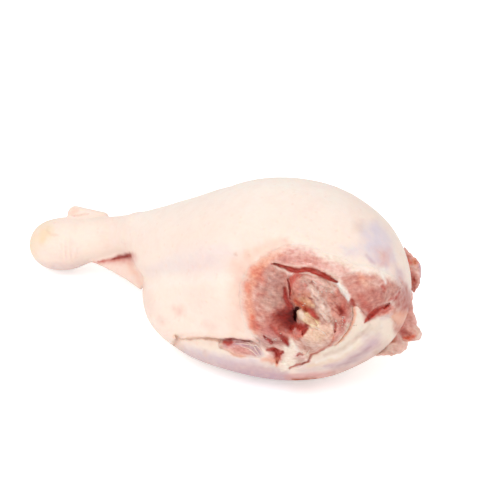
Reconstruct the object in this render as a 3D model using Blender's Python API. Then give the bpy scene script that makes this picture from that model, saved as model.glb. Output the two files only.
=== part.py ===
"""A raw goose leg: thigh and drumstick in one grown piece, lying on its side.

The leg is worked out in millimetres as one signed distance, below zero inside the meat,
and becomes a mesh in metres at the end. The cut hip end is at +X and looks to -Y, the
hock is at -X, and the leg rests on a small flat of its own underside at z = 0.

The relief of the cut face is laid out on a chart, a flat map that is held up in front
of the leg and projected onto it from one point, so that a place on the face has the
two plain sizes across and up.
"""
import math

import bmesh
import bpy
import numpy as np
import openvdb

MM = 0.001
NAME = "goose_leg"

# The box that the leg fills has the middle of its floor here, in the sizes used below.
ORIGIN = (-35.4, -3.0, 0.0)
BOX_LOW = (-146.0, -56.0, -4.0)
BOX_HIGH = (80.0, 50.0, 92.0)
GRID_STEP = 1.0
TRIANGLES = 9600

# The big masses: middle, half sizes and, for the drumstick, its nose-down pitch.
THIGH = ((12.0, -4.0, 41.0), (53.0, 41.5, 43.0))
DRUMSTICK = ((-12.5, 2.5, 38.0), (62.5, 36.0, 31.5))
DRUMSTICK_PITCH = -16.0
HEEL = ((-9.0, -17.0, 17.0), (50.0, 29.5, 17.7))
CALF = ((-35.5, 4.0, 35.0), (-78.0, 6.0, 31.0), 22.0, 10.7)
SHANK = ((-90.0, 9.0, 24.5), (-125.5, -1.0, 13.0), 9.8, 12.5)
HOCK_HEEL = ((-119.0, 1.0, 13.5), (12.0, 12.5, 13.2))
NUB = ((-114.0, 11.0, 28.0), (9.5, 5.5, 5.0))
FOOT_ROUND = 5.0
FOOT_SINK = 1.2
# How wide the fillet is where each mass joins the ones named before it.
DRUMSTICK_FILLET = 16.0
HEEL_FILLET = 10.0
CALF_FILLET = 14.0
HOCK_FILLET = 6.0
SHANK_FILLET = 8.0
NUB_FILLET = 5.0

# The chart: its turn and lift, how far off its point is, and where its middle lies.
CHART_TURN = 30.0
CHART_LIFT = 32.0
CHART_REACH = 758.0
CHART_MIDDLE = (0.0, 0.0, 33.0)
# The thigh's own waist as the chart sees it parts the near side from the far side. The
# relief fades out over CHART_FADE this far behind it.
CHART_WRAP = 7.0
CHART_FADE = 5.0

# The cut face on the chart, as (across, up).
CUT_EDGE = (
    (-7, 8), (-13, 5), (-16, -3), (-16, -12), (-13.5, -22), (-9, -29), (-1, -37), (8, -40),
    (20, -35), (32, -28), (37, -20), (33, -8), (27, -1), (19, 3.5), (7.5, 4), (0, 7.5),
)
CUT_DEPTH = 1.4
CUT_SOFT = 3.0
CUT_LOBE = ((-6.0, -8.0), (14.0, 19.0), 2.4)
BLOOD_HOLLOW = ((3.5, -20.0), (8.5, 9.0), -4.5)
BAND = ((24.0, 5.0), (34.0, 9.0), 1.6)
MUSCLE = ((44.0, -7.0), (15.0, 9.0), 2.8)
KNOB = ((19.0, -18.0), (17.0, 22.0), 5.0)
ROLL = (
    (6.5, -2.5), (12.0, 0.0), (19.5, -0.5), (26.5, -4.5),
    (31.0, -11.0), (31.5, -18.5), (27.5, -27.5), (21.0, -34.5),
)
ROLL_RADIUS = 4.6
ROLL_RISE = 3.6
ROLL_FILLET = 2.5
FAT_LOBE = ((15.5, -23.5), (21.0, -27.5))
FAT_LOBE_RADIUS = 6.0
FAT_LOBE_RISE = 3.0
FAT_LOBE_FILLET = 2.0
BONE = ((9.8, -15.0), (19.0, -22.5))
BONE_RADIUS = 3.2
BONE_RISE = 5.2
BONE_FILLET = 0.8
MARROW = ((7.0, -13.0), (7.5, -20.0))
RED_PIT = ((7.0, -23.0), (11.0, -26.0))
INNER_CRACK = ((8.5, -10.0), (14.0, -11.5), (18.5, -16.5), (25.5, -20.0), (25.0, -27.0))
ARC = ((-3, 7.5), (2.5, 5.5), (7.5, 4.0), (13, 4.5), (19, 3.5), (24, 1.0), (27, -2))
LEFT_CRACK = ((3.5, 1.5), (2.5, -6.5), (4.5, -11.5))
DEEP_CRACK = ((39.5, -20.5), (41, -16.5), (44, -14.5), (48.5, -11.5), (52, -9))
FASCIA = ((27.0, -1.5), (33.5, -9.0), (36.5, -14.5), (37.5, -21.0), (34.0, -28.5))
FAT_BAND = ((11, -41), (22, -37), (33, -31), (43, -24.5), (54, -20.5))
FAT_STRIP = ((2.5, -31.0), (4.5, -34.5), (4.0, -38.0))
LOWER_PITS = (((-4.0, -27.5), 3.0), ((2.5, -27.0), 1.8), ((-0.5, -34.0), 3.4), ((10.0, -34.5), 2.4))
LOWER_CRACK = ((7, -40), (12.5, -37.5), (17.5, -33.5), (22.5, -29.5))
SLIT = ((-24.5, -28.7), (-17.5, -30.5), (-9.5, -32.0))
SLIT_LIP = ((-44.5, -27), (-35.5, -28), (-25.5, -27.5), (-15, -27), (-7.5, -28))
VALLEY = ((-51.5, 2.0), (-35.5, 5.5), (-17.5, 8.0))
VALLEY_DEPTH = 1.4
VALLEY_WIDTH = 6.0

# What stands out along a path: half width, half height, level of the middle and fillet.
FASCIA_SIZE = (1.9, 2.4, 0.6, 2.0)
FAT_BAND_SIZE = (4.4, 2.4, 0.0, 2.5)
FAT_STRIP_SIZE = (2.8, 2.4, 0.4, 1.5)
SLIT_LIP_SIZE = (1.8, 1.4, 0.2, 1.5)
# What is cut in along a path: half width, half depth and level of the middle.
RED_PIT_SIZE = (3.0, 6.0, 2.0)
INNER_CRACK_SIZE = (1.2, 3.4, 3.0)
ARC_SIZE = (1.5, 3.4, 0.0)
LEFT_CRACK_SIZE = (1.5, 3.6, 0.5)
DEEP_CRACK_SIZE = (2.0, 7.0, 0.0)
LOWER_CRACK_SIZE = (1.5, 3.6, 1.0)
SLIT_SIZE = (2.6, 4.4, 0.0)
MARROW_SIZE = (2.9, 11.0, 0.0)
CRACK_ROUND = 1.4
PIT_ROUND = 1.2
PIT_SQUASH = 0.7

# Loose skin: the web under the shank, the fold at the heel, and the rags of the cut.
# Each is an outline on the chart, how far in front of the chart's middle it hangs,
# how much that grows for each millimetre across, and half its thickness.
WEB = (((-90, 11), (-64, 14), (-58, -6), (-69, -0.5), (-77, 3.5)), 1.5, 0.57, 2.2)
RAG = (((50, 12), (58, 14.5), (61, 11.5), (64.5, 8), (65, 2.5), (62.5, -4.5), (52, -8)), 9.0, 0.0, 2.6)
FLAP_FRONT = (((40, -27), (43.5, -34), (52, -33.5), (59, -28), (57, -20), (48, -20)), 20.0, 0.0, 3.0)
FLAP_SIDE = (((50, -16), (60, -17), (66.5, -24), (64, -27.5), (56, -28)), 13.0, 0.0, 2.8)
RAG_WAVE = 2.0
RAG_TURNS = 0.6
WEB_FILLET = 3.0
RAG_FILLET = 2.5
FLAP_SIDE_FILLET = 2.0
# The crease that runs in between the shank and the web, 27 mm behind the chart's middle.
UNDER_SHANK = ((-86, 7.5), (-75.5, 9.0), (-67, 10.5))
UNDER_SHANK_WIDTH = 1.6
UNDER_SHANK_DEPTH = 10.0
UNDER_SHANK_FRONT = -27.0
UNDER_SHANK_ROUND = 1.2

SKIN_COLOUR = (0.90, 0.70, 0.59, 1.0)
SKIN_ROUGHNESS = 0.42


def clear_scene():
    """Remove every object of the file that the script is run in."""
    for thing in list(bpy.data.objects):
        bpy.data.objects.remove(thing, do_unlink=True)


def dot(a, b):
    return a[..., 0] * b[0] + a[..., 1] * b[1] + a[..., 2] * b[2]


def join(a, b, blend):
    """Two solids made one, with a fillet about as wide as blend."""
    near = np.maximum(blend - np.abs(a - b), 0.0) / blend
    return np.minimum(a, b) - near * near * blend * 0.25


def cut(solid, tool, blend):
    """A solid without the tool's space, its new edge rounded over about blend."""
    return -join(-solid, tool, blend)


def ellipsoid(p, middle, half, pitch=0.0):
    """Distance to an ellipsoid, which may be pitched about Y."""
    turn = math.radians(pitch)
    q = p - np.array(middle, np.float32)
    x = q[..., 0] * math.cos(turn) - q[..., 2] * math.sin(turn)
    z = q[..., 0] * math.sin(turn) + q[..., 2] * math.cos(turn)
    q = np.stack((x, q[..., 1], z), -1)
    half = np.array(half, np.float32)
    outer = np.sqrt(((q / half) ** 2).sum(-1))
    slope = np.sqrt(((q / half ** 2) ** 2).sum(-1)) + 1e-6
    return outer * (outer - 1.0) / slope


def capsule(p, start, end, start_radius, end_radius):
    """Distance to a round bar whose radius runs evenly from end to end."""
    start = np.array(start, np.float32)
    run = np.array(end, np.float32) - start
    q = p - start
    part = np.clip(dot(q, run) / float(run @ run), 0.0, 1.0)
    gap = np.sqrt(((q - part[..., None] * run) ** 2).sum(-1))
    return gap - (start_radius + (end_radius - start_radius) * part)


def masses(p):
    """Thigh, drumstick, heel, calf and shank as one smooth mass on its foot."""
    leg = join(ellipsoid(p, *THIGH), ellipsoid(p, *DRUMSTICK, DRUMSTICK_PITCH), DRUMSTICK_FILLET)
    leg = join(leg, ellipsoid(p, *HEEL), HEEL_FILLET)
    leg = join(leg, capsule(p, *CALF), CALF_FILLET)
    shank = join(capsule(p, *SHANK), ellipsoid(p, *HOCK_HEEL), HOCK_FILLET)
    leg = join(leg, shank, SHANK_FILLET)
    return cut(leg, p[..., 2] + FOOT_SINK, FOOT_ROUND)


def chart_axes():
    """Across, up and out of the chart as unit directions."""
    turn = math.radians(CHART_TURN)
    lift = math.radians(CHART_LIFT)
    across = np.array((math.cos(turn), math.sin(turn), 0.0))
    out = np.array((math.sin(turn) * math.cos(lift), -math.cos(turn) * math.cos(lift), math.sin(lift)))
    return across, np.cross(out, across), out


def chart(p):
    """Where a point falls on the chart, and how far in front of it the point is."""
    across, up, out = chart_axes()
    q = p - np.array(CHART_MIDDLE, np.float32)
    front = dot(q, out)
    grow = CHART_REACH / (CHART_REACH - front)
    return dot(q, across) * grow, dot(q, up) * grow, front


def nearness(p):
    """How far a point is on the near side of the thigh's waist, as the chart sees it."""
    middle, half = THIGH
    slope = chart_axes()[2] / np.array(half) ** 2
    slope /= np.linalg.norm(slope)
    return dot(p - np.array(middle, np.float32), slope)


def path_gap(u, v, path):
    """Distance on the chart to a line of straight runs."""
    best = np.full(u.shape, 1e6, np.float32)
    for (ax, ay), (bx, by) in zip(path, path[1:]):
        dx, dy = bx - ax, by - ay
        part = np.clip(((u - ax) * dx + (v - ay) * dy) / (dx * dx + dy * dy), 0.0, 1.0)
        best = np.minimum(best, (u - ax - part * dx) ** 2 + (v - ay - part * dy) ** 2)
    return np.sqrt(best)


def outline_gap(u, v, outline):
    """Distance on the chart to a closed outline, below zero inside it."""
    inside = np.zeros(u.shape, bool)
    closed = tuple(outline) + (outline[0],)
    for (ax, ay), (bx, by) in zip(closed, closed[1:]):
        if ay == by:
            continue
        crosses = (ay > v) != (by > v)
        inside ^= crosses & (u < (bx - ax) * (v - ay) / (by - ay) + ax)
    gap = path_gap(u, v, closed)
    return np.where(inside, -gap, gap)


def bump(u, v, middle, half):
    """One at the middle of an oval on the chart, falling softly to nothing at its edge."""
    reach = ((u - middle[0]) / half[0]) ** 2 + ((v - middle[1]) / half[1]) ** 2
    return np.clip(1.0 - reach, 0.0, 1.0) ** 2


def along(u, v, depth, path, half_width, half_depth, level=0.0):
    """An oval tube that follows a path of the chart over a surface."""
    gap = path_gap(u, v, path) / half_width
    round_gap = np.hypot(gap, (depth - level) / half_depth)
    return (round_gap - 1.0) * min(half_width, half_depth)


def low_relief(u, v):
    """How far the skin, the cut and its muscles stand out from the smooth masses."""
    step = np.clip(0.5 - outline_gap(u, v, CUT_EDGE) / CUT_SOFT, 0.0, 1.0)
    relief = -CUT_DEPTH * step * step * (3.0 - 2.0 * step)
    for middle, half, rise in (CUT_LOBE, BLOOD_HOLLOW, BAND, MUSCLE, KNOB):
        relief += rise * bump(u, v, middle, half)
    relief -= VALLEY_DEPTH * np.exp(-(path_gap(u, v, VALLEY) / VALLEY_WIDTH) ** 2)
    return relief


def cut_face(leg, surface, u, v):
    """The roll of muscle round the bone, the fat, and the cracks and pits between."""
    for path, half_width, half_depth, level, fillet in (
        (ROLL, ROLL_RADIUS, ROLL_RADIUS, ROLL_RISE - ROLL_RADIUS, ROLL_FILLET),
        (FAT_LOBE, FAT_LOBE_RADIUS, FAT_LOBE_RADIUS, FAT_LOBE_RISE - FAT_LOBE_RADIUS, FAT_LOBE_FILLET),
        (FASCIA, *FASCIA_SIZE),
        (FAT_BAND, *FAT_BAND_SIZE),
        (FAT_STRIP, *FAT_STRIP_SIZE),
        (SLIT_LIP, *SLIT_LIP_SIZE),
    ):
        leg = join(leg, along(u, v, surface, path, half_width, half_depth, level), fillet)
    for path, size in (
        (RED_PIT, RED_PIT_SIZE),
        (INNER_CRACK, INNER_CRACK_SIZE),
        (ARC, ARC_SIZE),
        (LEFT_CRACK, LEFT_CRACK_SIZE),
        (DEEP_CRACK, DEEP_CRACK_SIZE),
        (LOWER_CRACK, LOWER_CRACK_SIZE),
        (SLIT, SLIT_SIZE),
    ):
        leg = cut(leg, along(u, v, surface, path, *size), CRACK_ROUND)
    for middle, radius in LOWER_PITS:
        reach = (u - middle[0]) ** 2 + (v - middle[1]) ** 2 + (surface * PIT_SQUASH) ** 2
        leg = cut(leg, np.sqrt(reach) - radius, PIT_ROUND)
    leg = cut(leg, along(u, v, surface, MARROW, *MARROW_SIZE), CRACK_ROUND)
    bone = along(u, v, surface, BONE, BONE_RADIUS, BONE_RADIUS, BONE_RISE - BONE_RADIUS)
    return join(leg, bone, BONE_FILLET)


def sheet(u, v, front, outline, depth, lean, half):
    """A thin skin that stands across the way that the chart looks."""
    edge = outline_gap(u, v, outline)
    through = (np.abs(front - depth - lean * u) - half * 0.4) / math.hypot(1.0, lean)
    return np.hypot(np.maximum(edge + half, 0.0), np.maximum(through, 0.0)) - half * 0.6


def loose_skin(leg, u, v, front):
    """The web behind the heel and the rags and flaps that hang from the cut."""
    wave = RAG_WAVE * np.sin(v * RAG_TURNS)
    leg = join(leg, sheet(u, v, front, *WEB), WEB_FILLET)
    leg = join(leg, sheet(u, v, front + wave, *RAG), RAG_FILLET)
    leg = join(leg, sheet(u, v, front, *FLAP_FRONT), RAG_FILLET)
    return join(leg, sheet(u, v, front, *FLAP_SIDE), FLAP_SIDE_FILLET)


def leg_distance(p):
    """Distance from the whole leg's surface, below zero inside."""
    smooth = masses(p)
    u, v, front = chart(p)
    near = nearness(p) + CHART_WRAP
    surface = smooth - low_relief(u, v) * np.clip(near / CHART_FADE, 0.0, 1.0)
    carved = cut_face(surface, surface + np.maximum(-near, 0.0), u, v)
    carved = join(carved, ellipsoid(p, *NUB), NUB_FILLET)
    carved = loose_skin(carved, u, v, front)
    across = path_gap(u, v, UNDER_SHANK) / UNDER_SHANK_WIDTH
    through = (front - UNDER_SHANK_FRONT) / UNDER_SHANK_DEPTH
    crease = (np.hypot(across, through) - 1.0) * UNDER_SHANK_WIDTH
    return cut(carved, crease, UNDER_SHANK_ROUND)


def skin_mesh():
    """The leg's surface as a closed mesh in metres."""
    axes = [np.arange(low, high, GRID_STEP, np.float32) for low, high in zip(BOX_LOW, BOX_HIGH)]
    places = np.stack(np.meshgrid(*axes, indexing="ij"), -1)
    grid = openvdb.FloatGrid()
    grid.background = 3.0 * GRID_STEP
    grid.copyFromArray(np.ascontiguousarray(leg_distance(places), np.float32))
    points, triangles, quads = grid.convertToPolygons(isovalue=0.0, adaptivity=0.0)
    points = (points * GRID_STEP + np.array(BOX_LOW) - np.array(ORIGIN)) * MM
    faces = [tuple(int(i) for i in face[::-1]) for face in list(triangles) + list(quads)]
    mesh = bpy.data.meshes.new(NAME)
    mesh.from_pydata(points.tolist(), [], faces)
    return mesh


def keep_largest(mesh):
    """Drop any crumb that the grid left loose beside the leg."""
    shape = bmesh.new()
    shape.from_mesh(mesh)
    waiting = set(shape.verts)
    pieces = []
    while waiting:
        piece = set()
        edge = [waiting.pop()]
        while edge:
            vert = edge.pop()
            piece.add(vert)
            for link in vert.link_edges:
                other = link.other_vert(vert)
                if other in waiting:
                    waiting.remove(other)
                    edge.append(other)
        pieces.append(piece)
    pieces.sort(key=len)
    loose = [vert for piece in pieces[:-1] for vert in piece]
    bmesh.ops.delete(shape, geom=loose, context="VERTS")
    shape.to_mesh(mesh)
    shape.free()


def thin_out(leg):
    """Bring the leg down to its number of triangles, most of them where it bends most."""
    count = sum(len(face.vertices) - 2 for face in leg.data.polygons)
    thin = leg.modifiers.new("Thin out", "DECIMATE")
    thin.ratio = TRIANGLES / count
    thin.use_collapse_triangulate = True
    result = leg.evaluated_get(bpy.context.evaluated_depsgraph_get())
    mesh = bpy.data.meshes.new_from_object(result)
    leg.modifiers.remove(thin)
    leg.data = mesh


def flatten_foot(mesh):
    """Cut the underside off at z = 0, which leaves the flat that the leg rests on."""
    shape = bmesh.new()
    shape.from_mesh(mesh)
    everything = shape.verts[:] + shape.edges[:] + shape.faces[:]
    found = bmesh.ops.bisect_plane(
        shape, geom=everything, plane_co=(0, 0, 0), plane_no=(0, 0, 1), clear_inner=True
    )
    rim = [part for part in found["geom_cut"] if isinstance(part, bmesh.types.BMEdge)]
    bmesh.ops.edgeloop_fill(shape, edges=rim)
    bmesh.ops.recalc_face_normals(shape, faces=shape.faces[:])
    shape.to_mesh(mesh)
    shape.free()


def skin_material():
    """Pale, damp skin."""
    material = bpy.data.materials.new("goose_skin")
    material.use_nodes = True
    shader = material.node_tree.nodes["Principled BSDF"]
    shader.inputs["Base Color"].default_value = SKIN_COLOUR
    shader.inputs["Roughness"].default_value = SKIN_ROUGHNESS
    return material


def main():
    clear_scene()
    mesh = skin_mesh()
    keep_largest(mesh)
    leg = bpy.data.objects.new(NAME, mesh)
    bpy.context.scene.collection.objects.link(leg)
    thin_out(leg)
    flatten_foot(leg.data)
    leg.data.materials.append(skin_material())
    leg.data.shade_smooth()


if __name__ == "__main__":
    main()
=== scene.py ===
"""Dresses the raw goose leg: skin, cut muscle, fat, bone end, rags of skin and small detail.

The forms are worked out in millimetres as signed distances, below zero inside, and are
made into meshes in metres. Relief on the cut face is laid out on a chart, a flat map in
front of the leg with the two sizes across and up, projected onto it from one point.
"""
import itertools
import math

import bpy
import numpy as np
import openvdb
from mathutils import Matrix, Vector


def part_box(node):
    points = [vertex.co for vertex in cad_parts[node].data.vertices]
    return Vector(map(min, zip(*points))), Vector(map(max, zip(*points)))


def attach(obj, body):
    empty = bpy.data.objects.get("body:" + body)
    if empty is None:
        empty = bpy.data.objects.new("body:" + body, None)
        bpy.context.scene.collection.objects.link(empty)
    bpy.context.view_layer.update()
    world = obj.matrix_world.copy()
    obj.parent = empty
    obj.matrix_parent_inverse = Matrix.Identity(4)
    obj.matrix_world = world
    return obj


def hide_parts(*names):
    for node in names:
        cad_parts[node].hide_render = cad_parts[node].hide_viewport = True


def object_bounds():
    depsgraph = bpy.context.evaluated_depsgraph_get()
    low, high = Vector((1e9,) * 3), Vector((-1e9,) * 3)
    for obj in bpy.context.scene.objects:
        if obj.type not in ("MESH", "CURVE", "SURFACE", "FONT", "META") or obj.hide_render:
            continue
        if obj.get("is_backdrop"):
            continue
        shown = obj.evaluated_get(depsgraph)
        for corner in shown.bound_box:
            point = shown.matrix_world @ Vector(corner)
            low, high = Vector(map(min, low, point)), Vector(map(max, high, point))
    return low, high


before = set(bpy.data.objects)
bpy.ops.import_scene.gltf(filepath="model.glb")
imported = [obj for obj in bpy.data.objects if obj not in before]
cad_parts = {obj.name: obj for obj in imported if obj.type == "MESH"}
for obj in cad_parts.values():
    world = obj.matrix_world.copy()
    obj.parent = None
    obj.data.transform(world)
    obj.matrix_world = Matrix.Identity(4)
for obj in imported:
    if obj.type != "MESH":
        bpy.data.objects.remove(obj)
CAD_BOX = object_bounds()
NODE = "goose_leg"
NODE_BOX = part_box(NODE)

bl_info = {
    "name": "Raw goose leg",
    "version": (1, 0, 0),
    "blender": (4, 5, 0),
    "location": "3D View > Sidebar > Goose leg",
    "description": "Makes the skin, cut muscle, fat and bone end of a raw goose leg",
    "category": "Object",
}

# All sizes below are in millimetres, and ORIGIN is where the frame's own origin lies in them.
MM = 0.001
CM = 0.01
ORIGIN = (-35.4, -3.0, 0.0)

# The big masses. An ellipsoid has its middle and half sizes, and the drumstick is pitched
# nose down. A round bar has both its ends and the radius at each.
THIGH = ((12.0, -4.0, 41.0), (53.0, 41.5, 43.0))
DRUMSTICK = ((-12.5, 2.5, 38.0), (62.5, 36.0, 31.5))
DRUMSTICK_PITCH = -16.0
HEEL = ((-9.0, -17.0, 17.0), (50.0, 29.5, 17.7))
CALF = ((-35.5, 4.0, 35.0), (-78.0, 6.0, 31.0), 22.0, 10.7)
SHANK = ((-90.0, 9.0, 24.5), (-125.9, -1.0, 13.4), 9.8, 12.0)
HOCK_HEEL = ((-119.0, 1.0, 14.7), (12.0, 12.0, 11.6))
NUB = ((-118.0, 8.2, 28.6), (-104.0, 12.0, 29.4), 4.0, 2.2)

# How wide the fillet is where each mass meets the ones before it, and round the foot.
DRUMSTICK_FILLET = 16.0
HEEL_FILLET = 10.0
CALF_FILLET = 14.0
HOCK_FILLET = 6.0
SHANK_FILLET = 8.0
NUB_FILLET = 1.6
WEB_FILLET = 2.0
FOOT_ROUND = 5.0

# The skin's own lumps, below the smooth masses by LUMP_SINK and gone at the foot. Lumps and
# grain all through this file have a rise, a size across and a seed.
LUMPS = ((0.3, 21.0, 3), (0.12, 8.0, 5))
LUMP_SINK = 0.25
FOOT_HEIGHT = 6.0

# The chart: its turn and lift, how far off its point is, and where its middle lies.
CHART_TURN = 30.0
CHART_LIFT = 32.0
CHART_REACH = 758.0
CHART_MIDDLE = (0.0, 0.0, 33.0)

# A place is on the leg's near side as far as a step of NEAR_STEP towards the chart's point
# leaves the leg. Where that is less than FADE_FROM, all that is laid out on the chart sinks
# away by FADE_FALL for each millimetre. NEAR_EDGE and NEAR_SOFT say where tones end.
NEAR_STEP = 12.0
NEAR_EDGE = 0.6
NEAR_SOFT = 3.0
FADE_FROM = 3.0
FADE_FALL = 1.6

# Where the camera looks, as steps across and up from the chart's middle.
CAMERA_ASIDE = (-12.74, 13.65)

# Outlines on the chart are points of (across, up). A stroke's points have a third number,
# its half width there. The skin is open inside CUT_RIM and inside SLIT.
CUT_RIM = (
    (-7, 9.5), (-11, 6.8), (-14.5, 2.5), (-16, -3), (-16.3, -9), (-15.8, -15), (-14, -20),
    (-11.8, -23.5), (-9.5, -27), (-6, -32.5), (-1.5, -38.5), (3, -41), (9, -38.6), (13, -37.4),
    (15, -35), (18, -33), (21.5, -31.7), (25, -30.2), (28.2, -27.6), (31.3, -23.8), (33.7, -20),
    (34.5, -15), (34.2, -12.3), (36, -12.6), (38.2, -15.3), (40.3, -16.8), (43.5, -17.5),
    (48, -16), (52, -14.5), (55, -12), (57, -8), (56.5, -3), (54, 0), (49, 3), (43, 5), (36, 6.5),
    (29, 9), (22, 12), (15, 14.5), (8, 15.5), (2, 15), (-3, 12.5),
)
KNOB = (
    (5.2, 0.5), (7.5, 2.8), (11, 3.2), (16, 2.8), (21, 0.2), (25, -1.6), (28, -4), (31, -8),
    (33.3, -12), (33.8, -16), (32.8, -20), (30.5, -23.5), (27.5, -27.3), (24.5, -29.8),
    (21, -31.3), (15, -33.5), (10, -32), (7, -27), (9, -20), (7.5, -13), (6, -7),
)

# The knob's height, how softly it rises from its edge, how far its foot spreads, and how
# steeply it falls away past its outline.
KNOB_EDGE_RISE = 3.8
KNOB_EDGE_SOFT = 2.2
KNOB_SKIRT = 0.7
KNOB_FALL = 0.8

# Swellings and hollows: middle, half widths and rise, each falling softly to its edge.
# The first table is for the skin and all that lies on it, the second for the cut alone.
SKIN_SWELLINGS = (
    ((24.0, 7.0), (34.0, 9.0), 1.6),
    ((43.0, -6.0), (15.0, 10.0), 2.6),
)
BONE_HOLLOW = ((4.0, -19.0), (9.0, 8.5), -4.2)
CUT_SWELLINGS = (
    ((-6.0, -7.0), (13.0, 18.0), 2.0),
    BONE_HOLLOW,
    ((20.0, -17.0), (16.0, 20.0), 3.0),
    ((18.0, -27.0), (11.0, 8.0), 1.4),
)

# The long dip between thigh and drumstick, as a stroke.
VALLEY = ((-59.0, 2.4, 4.0), (-45.0, 4.6, 4.6), (-31.0, 5.4, 5.0), (-18.0, 8.0, 4.4))
VALLEY_DEPTH = 1.8

# How far every line in the flesh wanders, and the wrinkles across it: share, size and seed.
WANDER = ((0.5, 4.0, 41), (0.28, 1.6, 43))
WRINKLES = ((0.6, 3.2, 45), (0.4, 1.5, 47))

# How far the cut stands above the skin's level, and how fibrous, wrinkled, lumpy and ragged
# the muscle and the knob are.
CUT_LEVEL = 0.15
CUT_FIBRE = 0.1
MUSCLE_WRINKLE = 0.3
MUSCLE_GRAIN = (0.12, 1.3, 53)
MUSCLE_RAGGED = (0.2, 1.4, 57)
KNOB_WRINKLE = 0.7
KNOB_FOLDS = (0.5, 4.6, 65)
KNOB_GRAIN = (0.16, 1.3, 67)
KNOB_RAGGED = (0.22, 1.2, 68)

# How deep below the skin's surface each piece of flesh reaches, and how far past its outline.
MUSCLE_REACH = (9.0, 2.4)
KNOB_REACH = (7.0, 1.2)
SLIT_REACH = (7.0, 1.5)
FAT_DEPTH = 4.0
BONE_DEPTH = 3.0

# How round the flesh is where a ridge, a fleck or a groove meets it.
RIDGE_FILLET = 0.8
FLECK_FILLET = 0.3
GROOVE_ROUND = 0.6

# Ridges on the flesh: rise and stroke.
RIDGES = (
    (1.5, (
        (26.5, -4, 1.0), (29.5, -8, 1.9), (31.3, -13, 2.3), (31.2, -18, 2.2), (29, -23, 2.0),
        (25.5, -27.3, 1.5))),
    (1.3, (
        (15, -3, 1.0), (17.5, -7, 1.5), (19.3, -11, 2.1), (21.3, -15, 2.2), (23.3, -19, 1.6),
        (24.5, -23, 1.0))),
    (1.1, ((10, 1.2, 1.0), (14, 1.4, 1.5), (18.5, 0.4, 1.5), (22, -2, 1.2), (24.5, -5, 0.8))),
    (0.8, ((3.6, 0, 0.5), (4.2, -3, 0.8), (5, -6.5, 0.9), (5.8, -10, 0.7))),
    (0.8, ((-2, 6.7, 0.5), (1, 5.2, 0.7), (3, 3.8, 0.9), (4.6, 2.4, 0.8))),
    (0.7, ((8.5, -5, 1.0), (12.5, -7.5, 1.6), (15.5, -11, 1.4))),
    (0.6, ((23, -8, 0.8), (25, -12, 1.3), (27.3, -17, 1.3), (28.3, -20, 0.8))),
    (0.5, ((-9, -22, 1.4), (-5.5, -24.5, 1.8), (-1, -26, 1.4))),
    (0.8, ((7.5, -22.5, 0.8), (8.8, -24.2, 1.2), (8.4, -26, 1.0))),
    (0.5, ((8, -35, 1.5), (11, -36.6, 1.6), (7, -38, 1.2))),
)
# Crumbs of tissue that stand up from the knob, as small ridges.
FLECKS = (
    ((19.8, -3.3, 0.35), (22.5, -4.9, 0.4), (24.5, -5.2, 0.3)),
    ((20.6, -1.2, 0.3), (22, -2.6, 0.4)),
    ((21.5, -8.2, 0.3), (23.4, -9.8, 0.35)),
    ((25.2, -20.5, 0.4), (25.2, -23, 0.5), (25.6, -25, 0.35)),
    ((12.3, 0.6, 0.4), (13.6, -1.6, 0.5), (16.2, -3.4, 0.4)),
    ((18.2, -13.2, 0.4), (21, -17.2, 0.5)),
    ((28.3, -17.6, 0.3), (30, -18.6, 0.4)),
    ((29.2, -21.3, 0.35), (31, -21.9, 0.4)),
    ((20.5, 4.6, 0.35), (21.4, 4.9, 0.35)),
    ((25.6, 1.9, 0.4), (26.6, 1.3, 0.4)),
    ((27.6, 2.3, 0.3), (28, 1.6, 0.35)),
    ((47.8, -4, 0.4), (49, -4.9, 0.4)),
    ((50.5, -9.8, 0.4), (53.5, -6.3, 0.4), (55, -3.5, 0.3)),
    ((-1.8, -22.6, 0.3), (-0.4, -21.2, 0.3)),
    ((1.5, -10.5, 0.3), (2.6, -12.6, 0.35)),
)
FLECK_RISE = 0.45

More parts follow.
